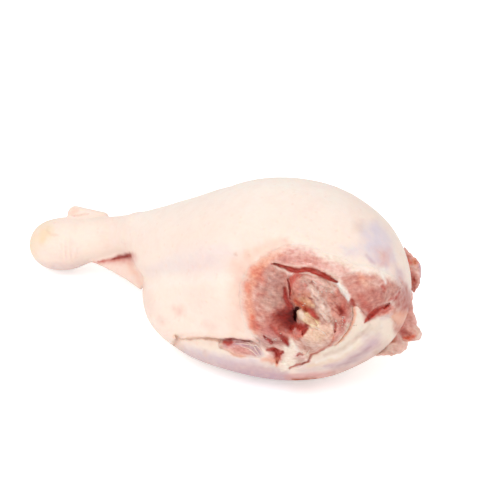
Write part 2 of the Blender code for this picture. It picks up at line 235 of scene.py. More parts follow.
# Grooves in the flesh: depth and stroke.
GROOVES = (
    (1.6, (
        (-3.2, 7.2, 0.25), (0, 6.9, 0.4), (2.5, 5.8, 0.55), (5, 4.9, 0.95), (8, 4.2, 1.2),
        (13, 4.4, 1.1), (17, 4.0, 1.2), (20, 2.6, 1.25), (23, 0.8, 1.1), (25, -0.4, 0.7),
        (26.6, -1.6, 0.35))),
    (0.8, ((3, -3.5, 0.35), (2.8, -6, 0.5), (3.3, -8, 0.8), (4.3, -10.2, 1.0), (5.4, -12.3, 0.9))),
    (0.6, (
        (4.3, 0, 0.4), (5.4, -1.8, 0.55), (5.4, -4.2, 0.5), (5.8, -6.8, 0.45), (6.2, -8.5, 0.3))),
    (0.5, ((5.6, 0.2, 0.7), (7.2, 1.6, 0.9), (9.5, 2.1, 0.6), (11, 2.2, 0.3))),
    (0.7, (
        (8.0, -9.2, 0.4), (10.8, -11.6, 0.6), (12.6, -13.8, 0.7), (15.6, -14.6, 0.9),
        (17.4, -17.4, 0.6))),
    (4.0, ((8.9, -12.6, 0.8), (8.2, -14.2, 1.2), (7.8, -16.4, 0.9), (7.6, -18.2, 0.5))),
    (1.3, ((6, -21.2, 0.8), (9.5, -20.6, 0.8), (12.2, -21.8, 1.2), (11.4, -24.6, 0.7))),
    (0.4, ((29.4, -17.6, 0.3), (30.2, -18.8, 0.5))),
    (0.4, ((26.3, -19.6, 0.4), (26.4, -21.4, 0.5), (26, -23.6, 0.3))),
    (0.7, ((33.7, -8.6, 0.7), (33.6, -10.6, 0.9), (34.6, -11.8, 0.5))),
    (1.4, (
        (39.2, -19.6, 0.35), (40.6, -17.8, 0.8), (42, -15.8, 1.2), (44.6, -14.1, 1.4),
        (47.6, -12.5, 1.0), (50.6, -10.6, 0.4))),
    (0.6, ((45.5, -14.8, 0.6), (48.5, -14.6, 0.5), (51, -12.8, 0.4))),
    (0.5, ((53, -9.6, 0.4), (54.6, -6.8, 0.45), (55.4, -4, 0.35))),
    (0.9, ((-6.6, -25.6, 0.4), (-5, -27.2, 0.65), (-3.2, -28.4, 0.8))),
    (0.9, ((2, -26.2, 0.6), (3, -27.6, 0.75), (4, -28.9, 0.45))),
    (1.4, ((-2, -31.2, 0.7), (-0.4, -32.6, 1.1), (0, -34.6, 1.0), (-0.4, -37.5, 0.6))),
    (1.2, ((0.6, -33.4, 0.8), (1.7, -32.9, 0.7))),
    (0.4, ((-4.8, -31.5, 0.4), (-2.4, -30.9, 0.4))),
    (0.4, ((8.5, -34.4, 0.4), (9.8, -33.6, 0.55), (11.6, -34.2, 0.3))),
    (0.4, (
        (5.5, -40, 0.4), (8, -38.4, 0.5), (11, -38, 0.5), (13.5, -37, 0.55), (14.8, -35.4, 0.5),
        (15.4, -34, 0.45), (18, -32.9, 0.5), (21, -31.6, 0.5), (24.5, -30, 0.3))),
    (0.4, ((-3, -20.3, 0.5), (-1, -23, 0.6), (0.8, -25.5, 0.4))),
    (0.4, ((46.8, -2.6, 0.5), (48, -3.6, 0.5))),
)

# Fat: the spike beside the knob and the band below it, then strokes with their rise. A form
# is how far it goes past its outline, its rise and how round its edge is.
FAT_SPIKE = (
    (34.6, -11.7), (36.1, -12.2), (38.2, -15), (40.4, -16.6), (40.4, -18.4), (38.4, -21),
    (36, -24), (31, -27.5), (27, -29.8), (28.8, -27), (31.4, -23.6), (33.4, -20), (34.2, -15.5),
)
FAT_BAND = (
    (24, -30.3), (28, -28), (32, -24.5), (38.5, -20.5), (42, -18.2), (46, -16.8), (51, -17),
    (54, -20), (50, -26), (43, -31.5), (33, -36.5), (22, -39.5), (12, -41), (8, -40), (13, -37.8),
    (16, -34.5), (20, -32.5),
)
FAT_SPIKE_FORM = (0.4, 1.7, 1.6)
FAT_BAND_FORM = (0.5, 0.55, 1.2)
FAT_FILLET = 1.2
FAT_GRAIN = (0.12, 2.2, 73)
FAT_STROKES = (
    (1.6, (
        (5.2, -26.6, 0.9), (5.6, -29, 1.8), (5.2, -32.5, 2.4), (4.4, -36, 2.4), (3, -40.5, 2.0))),
    (1.7, (
        (27.2, -1.9, 0.6), (28.8, -3.4, 1.0), (30.6, -5.4, 1.15), (31.9, -7.4, 1.0),
        (32.2, -8.6, 0.6))),
    (0.8, ((5.5, 6.6, 0.3), (9, 6.4, 0.45), (13, 6.1, 0.45), (17, 5.9, 0.4), (19, 5.2, 0.5))),
    (0.8, ((22.5, 3.6, 0.5), (25, 2, 0.8), (27.2, -0.2, 0.9), (28.6, -1.6, 0.6))),
    (0.7, ((9.8, 2.9, 0.3), (13, 3.1, 0.4), (16, 2.5, 0.35))),
    (0.9, ((5, -29.8, 0.4), (1.5, -29.8, 0.6), (-2, -29.7, 0.5), (-4.5, -30.4, 0.4))),
    (0.6, ((-8.5, -27.8, 0.8), (-6, -29.6, 1.0), (-3.5, -30, 0.7))),
)
FAT_STROKE_LEVEL = 0.2
FAT_STROKE_FILLET = 0.6

# The bone's cut end: a short rod, lifted by a share of the knob's height.
BONE = (
    (10.3, -14.4, 1.6), (10.6, -16.4, 2.0), (13.4, -18, 2.1), (16, -19.4, 1.7), (17.8, -20.2, 1.0),
)
BONE_RISE = 1.2
BONE_HALF_DEPTH = 2.2
BONE_LIFT = 0.85
BONE_GRAIN = ((0.35, 2.0, 83), (0.1, 0.9, 84))

# The slit below the lobe, the lip of skin over it, creases in the skin and the openings.
SLIT = (
    (-26, -27.2), (-23, -26.9), (-19, -26.9), (-13, -27.6), (-10.5, -28.4), (-8.5, -31),
    (-7.5, -34), (-10, -34.6), (-15, -34.2), (-19, -33.6), (-23, -31.8), (-26, -30.6),
)
SLIT_LIP = (
    (-44.5, -26.5, 0.9), (-40, -26.5, 1.3), (-36, -25.9, 1.5), (-32, -26.5, 1.6),
    (-26, -26.7, 1.8), (-19, -26.7, 1.8), (-13, -27.3, 1.5), (-9, -28, 1.0),
)
NOTCH_LIP = ((-50.4, -24.6, 0.9), (-48.4, -25.6, 1.5), (-46.8, -26.6, 1.4))
LIP_RISE = 0.9
LIP_FILLET = 1.0
OPENING_DEPTH = 5.0
SLIT_ROUND = 1.3
RIM_ROUND = 0.4
CREASE_ROUND = 0.6
CREASES = (
    (0.9, (
        (-44.5, -27, 0.3), (-40, -27, 0.45), (-36, -26.4, 0.4), (-32, -27, 0.5), (-27, -27.1, 0.5),
        (-25, -27.3, 0.6))),
    (1.1, ((-46.6, -24.6, 0.3), (-45.4, -26.4, 0.6), (-45.8, -28.2, 0.7), (-47.4, -29.2, 0.4))),
)

# The meat in the slit: its level, its fibres, and the dip under the lip of skin as its
# depth, where it lies and its half width.
SLIT_LEVEL = 0.45
SLIT_FIBRE = 0.25
SLIT_DIP = (1.1, -27.0, 1.4)

# The rings of skin above the hock: where they are, how close together and how high.
HOCK_RINGS = ((-96.0, 14.0), (8.0, 10.0))
RING_TURNS = 2.7
RING_RISE = 0.42

# Threads of tissue that stretch over the slit and the knob, and where crumbs of fat lie.
STRANDS = (
    ((-19.5, -28.8), (-15.5, -29), (-12.5, -29.6), (-9.8, -31.2)),
    ((-17, -30.2), (-13.5, -31.2), (-11, -33), (-9.2, -34.8)),
    ((-14, -28.2), (-12, -29.4), (-9.5, -30), (-7, -32.6)),
    ((-11.5, -29.5), (-9.8, -32.2), (-8, -34.6)),
    ((14.2, 2.2), (16.2, -0.6), (19, -2.6), (21.6, -3.4)),
    ((19.8, -7.6), (22.4, -10.4), (24, -13.6), (25.4, -17.4)),
    ((12, -5.8), (15.4, -7.2), (18.4, -10.4), (20, -13.2)),
    ((26.8, -19.6), (28, -22), (26.4, -26.4), (23.4, -29.4)),
    ((13, -21.4), (17.4, -21.8), (21.4, -24.6), (23, -27.6)),
    ((9.4, -35), (12.4, -34.2), (14.6, -31.6)),
)
STRAND_LIFT = 0.15
KNOB_STRAND_LIFT = 0.35
CRUMBS = (
    ((17, 5.4), (24, 3), (26, 0), (22, 1.6), (17.4, 3.6)),
    ((19, -2), (24.6, -2.8), (25.4, -6), (21, -6.6), (18.6, -4.4)),
    ((24.6, -18.6), (30, -17), (30.6, -20.6), (26.2, -24.8), (24.8, -23)),
    ((8, -8.6), (11, -9.2), (14, -12.6), (9.6, -11.4)),
    ((-5.6, -25), (1, -23.6), (4, -27.4), (-3, -28.6)),
    ((7, -33.4), (14.6, -33.4), (15.4, -37.4), (6.4, -38)),
    ((33.4, -15), (38, -15.6), (34, -22), (31, -24)),
)
CRUMB_EDGE = 1.5
CRUMB_PATCHES = (1.4, 1.8, 97)

# Loose skin: an outline on the chart, how far in front of the chart's middle it hangs,
# how much that grows for each millimetre across, and half its thickness.
WEB = (
    ((-92, 14), (-64, 16), (-60, -2), (-62.5, -4.5), (-69, 0.2), (-76, 4.2), (-83, 7.6)),
    -6.0,
    0.57,
    2.2,
)
RAG = (
    (
        (56, 13), (58, 14.6), (60, 12.2), (61.6, 10.4), (63.2, 9.9), (64.4, 7.4), (65, 3.2),
        (64.4, -1), (63, -4.2), (62, -6), (60.4, -4.4), (55, -3),
    ),
    9.0,
    0.0,
    2.4,
)
FLAP_FRONT = (
    (
        (43.5, -34.2), (48.2, -31.4), (50.2, -28.4), (51.4, -26), (53.4, -23), (56, -25),
        (57, -27.4), (59.2, -28.2), (58.2, -31), (56, -33.2), (52, -34.4),
    ),
    20.0,
    0.0,
    2.6,
)
FLAP_SIDE = (
    (
        (52, -3), (59, -1), (60.8, -6), (61.4, -11), (62, -16), (63, -20.6), (64.6, -22.6),
        (66, -24.6), (65, -26.6), (62, -27.6), (58.6, -28.2), (56.4, -27.2), (54.6, -24),
        (51, -19),
    ),
    13.0,
    0.0,
    2.4,
)
FLAP_HOLLOW = ((57.2, -23.8, 2.0), (58.6, -25.2, 1.8))

# How a scrap is ragged at its edge, folded and rough: amount and size of its wandering, the
# fold's height and its turns up and across, and the rise and size of its lumps.
SCRAP_WANDER = (0.45, 2.2)
SCRAP_FOLD = (1.1, 0.7, 0.35)
SCRAP_BUCKLE = (0.8, 4.0)
SCRAP_LUMPS = (0.3, 2.2)
SCRAP_GRAIN = (0.14, 1.0)

# The tones: colour, strength, softness of the edge and outline or stroke, laid one over
# the other in this order. An outline's softness is in millimetres, a stroke's is a share
# of its half width. TONES go over the whole leg, the others over single pieces.
# Some tones lay painted light and shade in place of the flesh's own colour; each is marked where it
# stands.
TONES = (
    # Painted light: the top of the leg paler, where the light falls on it most.
    ("white", 0.55, 30.0, (
        (-70, 24), (-30, 34), (10, 34), (36, 26), (30, 48), (-20, 60), (-60, 44))),
    ("blush", 0.45, 9.0, ((-82, 30), (-68, 29), (-64, 16), (-68, 11), (-82, 10))),
    ("straw", 0.36, 6.0, ((-116, 12), (-112, 26), (-103, 29), (-103, 19), (-109, 16), (-110, 11))),
    ("blush", 0.5, 4.0, ((-104, 11), (-96, 13), (-90, 13), (-88, 8), (-104, 8))),
    # Painted shade along the underside of the shank, in mauve.
    ("mauve", 0.3, 3.0, ((-112, 9), (-104, 7.4), (-94, 7.6), (-86, 9), (-86, 2), (-112, 0))),
    ("blush", 0.9, 3.0, ((-86, 9), (-66, 11), (-61, -2), (-63, -8), (-72, 0), (-80, 5))),
    ("peach", 0.6, 1.0, ((-68, 8, 1.0), (-66, 4, 1.4), (-63, 0, 1.6), (-61, -3, 1.0))),
    # The crevice under the shank, where the web tucks behind it: dark red flesh with painted shade
    # over it.
    ("rose", 0.6, 1.0, ((-86, 7.4, 0.4), (-79, 8.2, 1.0), (-72, 9.2, 1.8), (-66.8, 9.8, 2.2))),
    ("red", 0.6, 1.0, ((-82, 8.3, 0.3), (-76, 9.2, 0.7), (-71, 10.2, 1.1), (-67.2, 11, 1.4))),
    ("blood", 0.85, 0.9, ((-76, 9.5, 0.25), (-71, 10.6, 0.6), (-67.4, 11.3, 0.9))),
    ("straw", 0.25, 1.0, ((-108, 18, 1.2), (-106.4, 21, 1.6), (-103, 23, 1.2))),
    ("tan", 0.25, 1.0, ((-105, 22.6, 0.35), (-103.4, 20.8, 0.5), (-99.6, 20.6, 0.3))),
    ("rose", 0.3, 1.0, ((-46.4, -13, 1.6), (-45, -14, 2.2))),
    ("rose", 0.2, 1.0, ((-53.6, -18, 1.4), (-52.6, -19, 1.6))),
    ("rose", 0.14, 1.0, ((-61, -4, 2.4), (-60, -9, 3.0), (-57.4, -14, 2.4))),
    ("rose", 0.16, 1.0, ((-33, -20, 1.6), (-30, -22, 2.0))),
    ("peach", 0.6, 1.0, ((-95, 30.6, 1.0), (-93.5, 31.4, 1.4), (-91, 31.6, 0.8))),
    # Painted shade: a thin line under the nub, where it meets the shank.
    ("rose", 0.35, 0.8, ((-94, 29.6, 0.35), (-90, 29.5, 0.5), (-86, 29.8, 0.3))),
    # Painted shade along the dip between thigh and drumstick, in a bluish and a purplish tone.
    ("vein_and_shade", 0.3, 1.0, ((-58, 4, 2.0), (-45, 8, 4.6), (-32, 10, 5.6), (-22, 12, 3.6))),
    ("mauve", 0.07, 1.0, ((-44, 5, 2.0), (-32, 6, 3.2), (-25, 6, 2.0))),
    ("white", 0.32, 1.0, (
        (-59, -3, 1.6), (-51, 0.2, 2.6), (-42, -0.9, 2.2), (-32, 1.2, 3.0), (-22, 0.2, 2.4))),
    ("blush", 0.35, 6.0, ((-18, 22), (-6, 22), (0, 14), (-8, 8), (-18, 6))),
    ("peach", 0.55, 9.0, ((-22, 10), (-8, 14), (-12, 0), (-14, -22), (-20, -24), (-22, -6))),
    ("peach", 0.5, 1.0, ((-14.6, 12, 1.3), (-14.3, 10.8, 1.0))),
    ("cream", 0.7, 5.0, (
        (-48, -24), (-46, -27), (-26, -28), (-20, -36), (-6, -37), (1, -40), (-4, -42),
        (-30, -38))),
    # Painted shade over the underside, in grey.
    ("grey", 0.45, 4.0, (
        (-48, -28), (-38, -31), (-26, -35), (-8, -38.5), (4, -41), (4, -50), (-40, -42))),
    ("tan", 0.2, 3.0, ((-46, -24), (-8, -25), (-8, -28), (-26, -31), (-46, -27.6))),
    # Painted shade over the underside, in a bluish tone.
    ("vein_and_shade", 0.5, 4.0, ((-42, -29), (-26, -34), (-8, -36), (-8, -38.5), (-26, -39), (-42, -34))),
    # Painted shade, deepest along the bottom edge, in mauve.
    ("mauve", 0.3, 3.0, ((-26, -37), (-8, -39.6), (4, -41.4), (4, -44), (-26, -42))),
    ("mauve", 0.75, 3.0, (
        (-25, -40.4), (-10, -41.4), (4, -42.6), (10, -44), (10, -56), (-26, -52))),
    ("rose", 0.7, 2.0, ((3, -42.8), (16, -42.2), (26, -40.6), (30, -52), (3, -52))),
    # Painted shade softened over the whole underside, in mauve.
    ("mauve", 0.4, 6.0, ((-48, -31), (-26, -35), (-8, -38), (4, -40), (6, -50), (-40, -46))),
    ("tan", 0.55, 3.0, ((24, -41.4), (34, -38.6), (45, -31.6), (50, -36), (24, -48))),
    ("cream", 0.85, 2.5, (
        (13, -37.6), (16, -34.4), (21, -31.6), (28, -27.6), (32, -23), (34.2, -19), (34.6, -12),
        (37, -13), (40.6, -17), (46, -16), (52, -17), (56, -20), (53, -24), (46, -31.6), (34, -38),
        (22, -41), (8, -41.5))),
    # Painted shade over the lower part of the fat band, in mauve.
    ("mauve", 0.3, 7.0, (
        (8, -38), (20, -38), (33, -32.6), (46, -25), (50, -31), (34, -42), (10, -45))),
    # Streaks along the fat band: painted light and shade of the folds that run along it.
    ("straw", 0.3, 1.0, ((14, -39.4, 0.8), (26, -35.4, 1.4), (38, -28, 1.4), (46, -21, 0.8))),
    ("white", 0.6, 1.0, ((17, -37.6, 0.6), (28, -34, 1.0), (39, -27, 1.1), (47, -20.4, 0.8))),
    ("grey", 0.4, 1.0, ((21, -34.6, 0.6), (30, -31, 1.0), (37, -25, 1.0), (42, -20.4, 0.6))),
    ("mauve", 0.5, 1.0, (
        (22, -39.4, 1.0), (28, -38.4, 1.6), (34.5, -35.6, 2.2), (39.6, -32, 2.4),
        (43.6, -28.6, 1.4))),
    ("mauve", 0.35, 4.0, ((38, -24), (46, -24), (46, -31), (39, -31))),
    ("tan", 0.3, 3.0, ((42, -31), (50, -27), (54, -31), (46, -37))),
    ("grey", 0.6, 3.0, ((43, -33), (52, -29), (54, -34), (46, -38))),
    # Painted shade along the lower edge of the fat band.
    ("painted_shade", 0.2, 1.0, (
        (25, -40, 0.8), (30, -38.6, 1.0), (35, -35.6, 1.2), (39.6, -32.4, 1.2), (42, -30.4, 0.6))),
    ("grey", 0.3, 1.0, ((36, -26.5, 0.8), (41, -24, 1.6), (46, -21, 1.6))),
    ("vein_and_shade", 0.75, 6.0, (
        (37, 25), (45, 27), (52, 19), (53.5, 9), (49, 4.6), (44, 7.4), (40, 11), (38, 17))),
    ("vein_and_shade", 0.6, 6.0, ((29, 15), (37, 15.5), (38, 11.5), (30, 11.5))),
    ("tan", 0.3, 4.0, ((34, 27), (39, 27), (38, 22), (34, 22))),
    ("rose", 0.5, 6.0, ((44, 14), (51, 14), (51, 7), (46.5, 6))),
    ("mauve", 0.5, 0.9, ((40.4, 11, 0.8), (42.4, 8.6, 1.0), (44.4, 7.4, 0.6))),
    ("rose", 0.85, 6.0, (
        (-6, 10), (-2, 13.4), (4, 15.4), (9, 15), (15, 13), (21, 9.6), (22, 5), (15, 5), (6, 5.6),
        (0, 7))),
    ("muscle", 0.55, 3.0, (
        (2.5, 10.4), (8, 11.2), (14, 9.8), (17.6, 8), (16, 5.8), (7, 6), (1, 8.4))),
    ("muscle", 0.5, 5.0, ((-6, 10), (-1, 13), (6, 12), (3, 8), (-4, 7.6))),
    ("peach", 0.6, 1.0, ((-7.4, 9.6, 1.2), (-4, 10.8, 1.8), (0, 13.6, 1.4), (4.5, 15.2, 1.0))),
    ("rose", 0.6, 5.0, ((18, 8.6), (26, 9), (33, 5.6), (34, 0), (28, -1), (20, 3))),
    ("brick", 0.18, 4.0, (
        (-9, 8), (-4, 10.4), (4, 11), (13, 10.4), (14, 7.4), (4, 6.4), (-6, 5.6))),
    ("cream", 0.55, 0.9, ((19, 11.6, 1.0), (25, 10, 1.2), (30, 7, 1.0), (34, 5.6, 0.8))),
    ("muscle", 0.85, 4.0, (
        (29, 0.6), (33, 2), (37.4, 3.6), (41, 2.4), (45, 2.2), (49, 0.8), (54, -0.6), (56.4, -5),
        (54.4, -9.4), (50, -10.4), (46, -12.6), (42.4, -14.4), (39.4, -15.4), (36, -11.6),
        (33.6, -11), (32.6, -8), (30, -3))),
    ("brick", 0.25, 5.0, (
        (32, 0), (38, -1), (44, -4), (46, -9), (42, -13.4), (38, -13), (34, -10.4))),
    ("rose", 0.55, 3.0, ((44.5, 1.6), (49, 0.4), (50, -4), (46, -8), (43, -3))),
    ("apricot", 0.45, 1.0, ((37.4, 2.8, 1.2), (39.2, 0, 1.6), (40, -2.6, 1.0))),
    ("red", 0.5, 1.0, ((38.4, -9.4, 1.4), (40, -11.4, 2.0), (41, -13.4, 1.0))),
    ("red", 0.6, 0.8, ((33.5, -8.8, 0.8), (33.8, -10.6, 1.1), (35, -11.4, 0.6))),
    ("mauve", 0.55, 4.0, (
        (53, 8.6), (57, 4), (60.6, -6), (63, -16), (60, -20.4), (56, -16), (55, -9), (56.4, -3),
        (53, 1))),
    ("muscle", 0.75, 3.0, (
        (55.4, 1), (58.6, -2), (63, -14), (61.6, -21), (56, -18), (50, -14.6), (54, -10),
        (56.6, -5))),
    ("brick", 0.55, 0.9, ((57.6, -12.6, 0.6), (59, -12.2, 1.0), (60.6, -12.2, 1.0))),
    # Painted shade over the muscle right of the knob.
    ("painted_shade", 0.25, 5.0, ((40, -6), (50, -2), (59, -2), (61, -14), (52, -12), (46, -13))),
    ("muscle", 0.7, 3.0, ((52.4, -17), (58, -17), (59, -26), (54, -27), (52.6, -22))),
    ("apricot", 0.65, 3.0, (
        (50, -15.6), (56, -14.6), (61, -15), (61.6, -20.4), (56.4, -19.8), (52, -18.6))),
    ("white", 0.6, 0.8, ((48, 4.6, 0.9), (47.8, 1.6, 1.0), (48.6, -1, 0.6))),
    ("brick", 0.6, 0.8, ((47, -2.4, 0.7), (48, -3.8, 0.8), (47.6, -4.8, 0.5))),
    # A painted highlight along the fibres of the muscle right of the knob.
    ("white", 0.5, 0.7, ((50.4, -11.4, 0.3), (53.4, -8, 0.45), (55.4, -4.6, 0.35))),
    ("red", 0.55, 0.8, ((50.6, -9.4, 0.5), (53.6, -8, 0.8), (54.8, -6, 0.5))),
    ("muscle", 1.0, 5.0, (
        (-6.6, 7.8), (-10.6, 5.4), (-13.2, 1.4), (-14.4, -3), (-14.8, -8), (-14.2, -14),
        (-12.8, -19), (-10.8, -22.6), (-8.4, -26.2), (-5.4, -30), (0, -30.4), (5, -28), (7, -22),
        (7, -12), (5, -4), (5, 2), (1.4, 5.4), (-3, 7.4))),
    ("grey", 0.55, 6.0, (
        (-6.6, 4.6), (1, 4), (3.4, -3), (2.8, -12.4), (0, -14.6), (-6, -15), (-9, -8), (-7, -2))),
    ("peach", 0.5, 1.0, ((-9, 13.6, 1.8), (-3, 16.4, 2.4), (4, 17.6, 1.6))),
    ("apricot", 0.35, 1.0, ((-7, 9, 1.6), (-3, 10.6, 2.0), (1, 12, 1.6))),
    ("apricot", 0.7, 0.9, (
        (-6.2, 7.8, 2.0), (-9.6, 5.6, 2.4), (-12.0, 1.2, 2.0), (-13.4, -5, 1.7), (-13.4, -12, 1.7),
        (-12.2, -18, 1.8), (-10.4, -22.4, 1.8))),
    # Painted shade over the lobe, deepening towards the knob.
    ("painted_shade", 0.3, 8.0, ((-7, 3), (0, 5), (6, 2), (8, -6), (7, -12), (-2, -13), (-7, -9))),
    ("rose", 0.35, 8.0, ((-18, 6), (-13, 4), (-14, -8), (-13, -16), (-18, -14))),
    ("coral", 0.4, 1.0, ((-11.6, 4.8, 1.6), (-8.2, 3.6, 2.4), (-7, -0.4, 1.6))),
    ("coral", 0.5, 0.9, ((-13.6, -2, 1.0), (-13.6, -4.6, 1.0))),
    ("brick", 0.4, 0.9, ((-9.4, -6.6, 1.2), (-6.4, -6.4, 1.4))),
    ("coral", 0.6, 0.9, ((-12, -17, 1.4), (-12.6, -21, 1.2))),
    ("red", 0.65, 0.8, ((-10.4, -19.4, 1.4), (-9.8, -21.6, 1.8))),
    ("brick", 0.4, 4.0, ((-8, -19), (-2, -18), (4, -21), (4, -25), (-4, -25))),
    ("plum", 0.35, 4.0, ((-8, -23), (-3, -20), (1, -25), (0, -30), (-6, -30))),
    ("brick", 0.55, 0.8, ((-3.4, -20.4, 1.4), (-1, -23, 1.4), (0.8, -25.4, 1.0))),
    ("brick", 0.9, 4.0, (
        (-5.4, -18.4), (-2, -13), (1, -11.6), (4, -11.4), (6, -10.4), (8, -19), (6, -23),
        (0, -21.4))),
    ("blood", 0.9, 4.0, (
        (-1.8, -16.6), (1, -13.4), (4.4, -12.2), (8.6, -11.4), (9, -20), (6, -22.4), (3.4, -21),
        (1, -18.6))),
    ("blood", 0.8, 0.9, ((0.4, -15.6, 0.8), (3.4, -18.4, 1.1), (6, -20.6, 1.1))),
    # Painted shade in the deep hole beside the bone, over dark blood.
    ("pitch", 0.7, 1.0, ((6.6, -13.4, 1.0), (5.6, -16.4, 1.2), (6.4, -19.6, 1.2))),
    ("wine", 0.75, 0.5, (
        (3.1, -3.6, 0.3), (2.9, -6, 0.45), (3.4, -8, 0.7), (4.4, -10.2, 0.9), (5.6, -12.4, 0.9))),
    ("fawn", 1.0, 1.8, KNOB),
    # Painted shade over the upper part of the knob.
    ("painted_shade", 0.2, 8.0, ((8, 0), (16, 1), (24, -3), (26, -12), (18, -14), (9, -10))),
    ("muscle", 0.85, 2.0, (
        (5.4, 0.6), (10, 1.2), (10.4, -4), (8.8, -8.6), (8, -12), (6, -10), (5.6, -4))),
    ("red", 0.55, 1.2, ((5, 1), (7, 2.6), (11.4, 2.8), (9, 0.4), (7, -1.4), (5.8, -4.4))),
    ("milk", 0.36, 2.2, ((11, 2.2), (16.4, 2.4), (20.4, 0), (22.6, -3.2), (18.4, -5.8), (13, -4))),
    ("rose", 0.45, 1.0, ((14.6, 0.6, 1.4), (18.6, -1.6, 1.6), (21, -4.6, 1.0))),
    ("apricot", 0.65, 2.4, (
        (10.6, -5), (15, -5.6), (17, -9), (16.4, -12.6), (12, -11.6), (10, -8))),
    ("muscle", 0.65, 0.8, ((23.6, -6, 1.2), (25, -10, 2.0), (26.8, -15, 2.2), (27.8, -19, 1.6))),
    ("brick", 0.6, 0.9, (
        (26.8, -4.4, 0.7), (29.4, -8, 1.6), (31.2, -13, 2.0), (31.0, -18, 1.7), (28.8, -22.6, 1.3),
        (25.6, -27, 1.1), (23.4, -29.6, 0.7))),
    ("rose", 0.4, 0.8, ((32.6, -14, 1.0), (32.2, -19, 1.0), (29.6, -24, 1.0))),
    ("milk", 0.85, 0.8, (
        (14.6, -3, 0.9), (17.2, -7, 1.6), (19, -11, 2.3), (21, -15, 2.2), (23, -19, 1.5),
        (24.6, -23, 1.1))),
    # Painted shade on the knob above the bone.
    ("painted_shade", 0.25, 4.0, ((7, -6), (14, -6), (20, -9), (18, -13), (12, -12), (8, -10))),
    ("grey", 0.6, 0.8, ((20.4, -9.6, 0.7), (22, -12.4, 0.9), (23, -15.6, 0.7))),
    # Painted shade over the lower part of the knob.
    ("painted_shade", 0.22, 5.0, (
        (8, -14), (16, -12), (22, -17), (27, -21), (24, -29), (14, -25), (8, -20))),
    ("milk", 0.5, 2.4, (
        (13, -20), (18, -19.4), (24.6, -20.6), (25.6, -24.4), (23, -29), (18, -31.4),
        (12.6, -30.6), (13, -25))),
    ("apricot", 0.3, 3.0, ((12, -20), (20, -20), (26.4, -21), (25.4, -26), (20, -29), (13, -27))),
    ("straw", 0.35, 3.0, ((12, -22), (18, -21), (23, -23), (21, -27), (15, -28.4), (12, -26))),
    ("tan", 0.5, 3.0, ((13, -20), (20, -19.6), (26, -21), (25, -25.6), (20, -29), (13, -28))),
    ("grey", 0.35, 3.0, ((13, -28), (18, -27), (20.6, -29.6), (15, -33), (11, -31.6))),
    ("milk", 0.5, 2.0, ((8.4, -27), (12.6, -26), (13, -29.6), (9.4, -30.6))),
    ("apricot", 0.25, 2.0, ((12, -32), (17, -33), (20, -31), (19, -34), (14, -36.6), (10, -35.6))),
    ("straw", 0.6, 2.0, (
        (10.4, -14.4), (14, -16), (18.4, -18.4), (19, -21), (14.6, -21.6), (11.4, -19.4))),
    ("rust", 0.75, 1.0, (
        (8.0, -9.2, 0.9), (10.9, -11.8, 1.4), (13.4, -13.8, 1.7), (16.4, -16.2, 1.6),
        (18, -18, 0.8))),
    ("straw", 0.35, 1.0, ((11.4, -8.8, 1.0), (13.6, -10.6, 1.2), (16.2, -12, 0.8))),
    ("brick", 0.6, 1.0, ((12.4, -12.6, 0.8), (15, -14.6, 1.2), (17.6, -17.2, 0.8))),
    ("rust", 0.7, 1.0, ((8.8, -10.4, 0.9), (10.8, -12.4, 1.0), (13.4, -14.2, 1.0))),
    ("straw", 0.7, 0.9, (
        (11.6, -13.8, 0.3), (12.6, -15.2, 0.7), (14.6, -17, 0.7), (17.6, -19.6, 0.6))),
    ("wine", 0.8, 0.9, ((13.6, -13.6, 0.5), (15.7, -14.7, 1.0), (16.8, -16.4, 0.6))),
    ("wine", 0.6, 0.9, ((8.0, -9.2, 0.6), (9.6, -10.4, 0.5))),
    ("red", 0.8, 2.4, (
        (5.2, -20.6), (9, -20), (13.2, -21), (12.4, -24.2), (9.6, -26), (6.6, -25.4), (5, -23.4))),
    ("wine", 0.7, 1.0, ((5.6, -21.4, 1.0), (8, -20.8, 0.9), (12.6, -21.8, 1.2), (12, -24, 0.8))),
    ("coral", 0.5, 1.0, ((7.0, -25.4, 1.0), (9, -26, 1.1), (10.6, -25.6, 0.7))),
    ("rose", 0.7, 0.9, ((7.6, -22.6, 0.8), (8.4, -24, 1.1))),
    ("blood", 0.85, 0.8, ((11.4, -21.4, 0.8), (12.2, -22.6, 1.0), (11.2, -24.6, 0.6))),
    ("wine", 0.8, 0.8, ((5.6, -21.4, 0.7), (7, -22.4, 0.5))),
    ("brick", 0.9, 0.9, ((27.2, -12.6, 1.2), (28.9, -13.6, 2.2), (29.8, -15.8, 1.5))),
    ("wine", 0.6, 1.0, ((27.2, -12.6, 0.6), (28.9, -13.4, 1.4), (29.8, -15.2, 0.8))),
    ("red", 0.6, 0.9, ((29.4, -17.6, 0.5), (30.2, -18.8, 0.8))),
    ("wine", 0.7, 0.9, ((26.3, -19.6, 0.4), (26.4, -21.4, 0.6), (26, -23.6, 0.4))),
    ("rust", 0.6, 0.9, ((25.2, -25.6, 0.3), (24.6, -28, 0.4), (21.2, -31.2, 0.4))),
    # Small grey-dark spots on the knob: painted shade of small hollows.
    ("slate", 0.8, 1.0, ((14.4, -8.5, 0.3), (15.4, -8.7, 0.4))),
    ("slate", 0.6, 0.8, ((16.4, -7.2, 0.4), (18.2, -8.8, 0.5))),
    ("slate", 0.6, 0.8, ((20.9, -10, 0.4), (21.8, -12.4, 0.55))),
    ("slate", 0.4, 0.8, ((20.4, -3.8, 0.35), (23.2, -3.8, 0.35))),
    ("brick", 0.7, 0.8, ((12.2, -1.8, 0.6), (12.8, -2.2, 0.6))),
    # Painted shade of a small hollow on the lobe.
    ("slate", 0.6, 0.8, ((-2.8, -8.2, 0.6), (-2.2, -8.4, 0.6))),
    ("brick", 1.0, 0.45, (
        (-3.2, 7.2, 0.25), (0, 6.9, 0.4), (2.5, 5.8, 0.6), (5, 4.9, 0.95), (8, 4.3, 1.25),
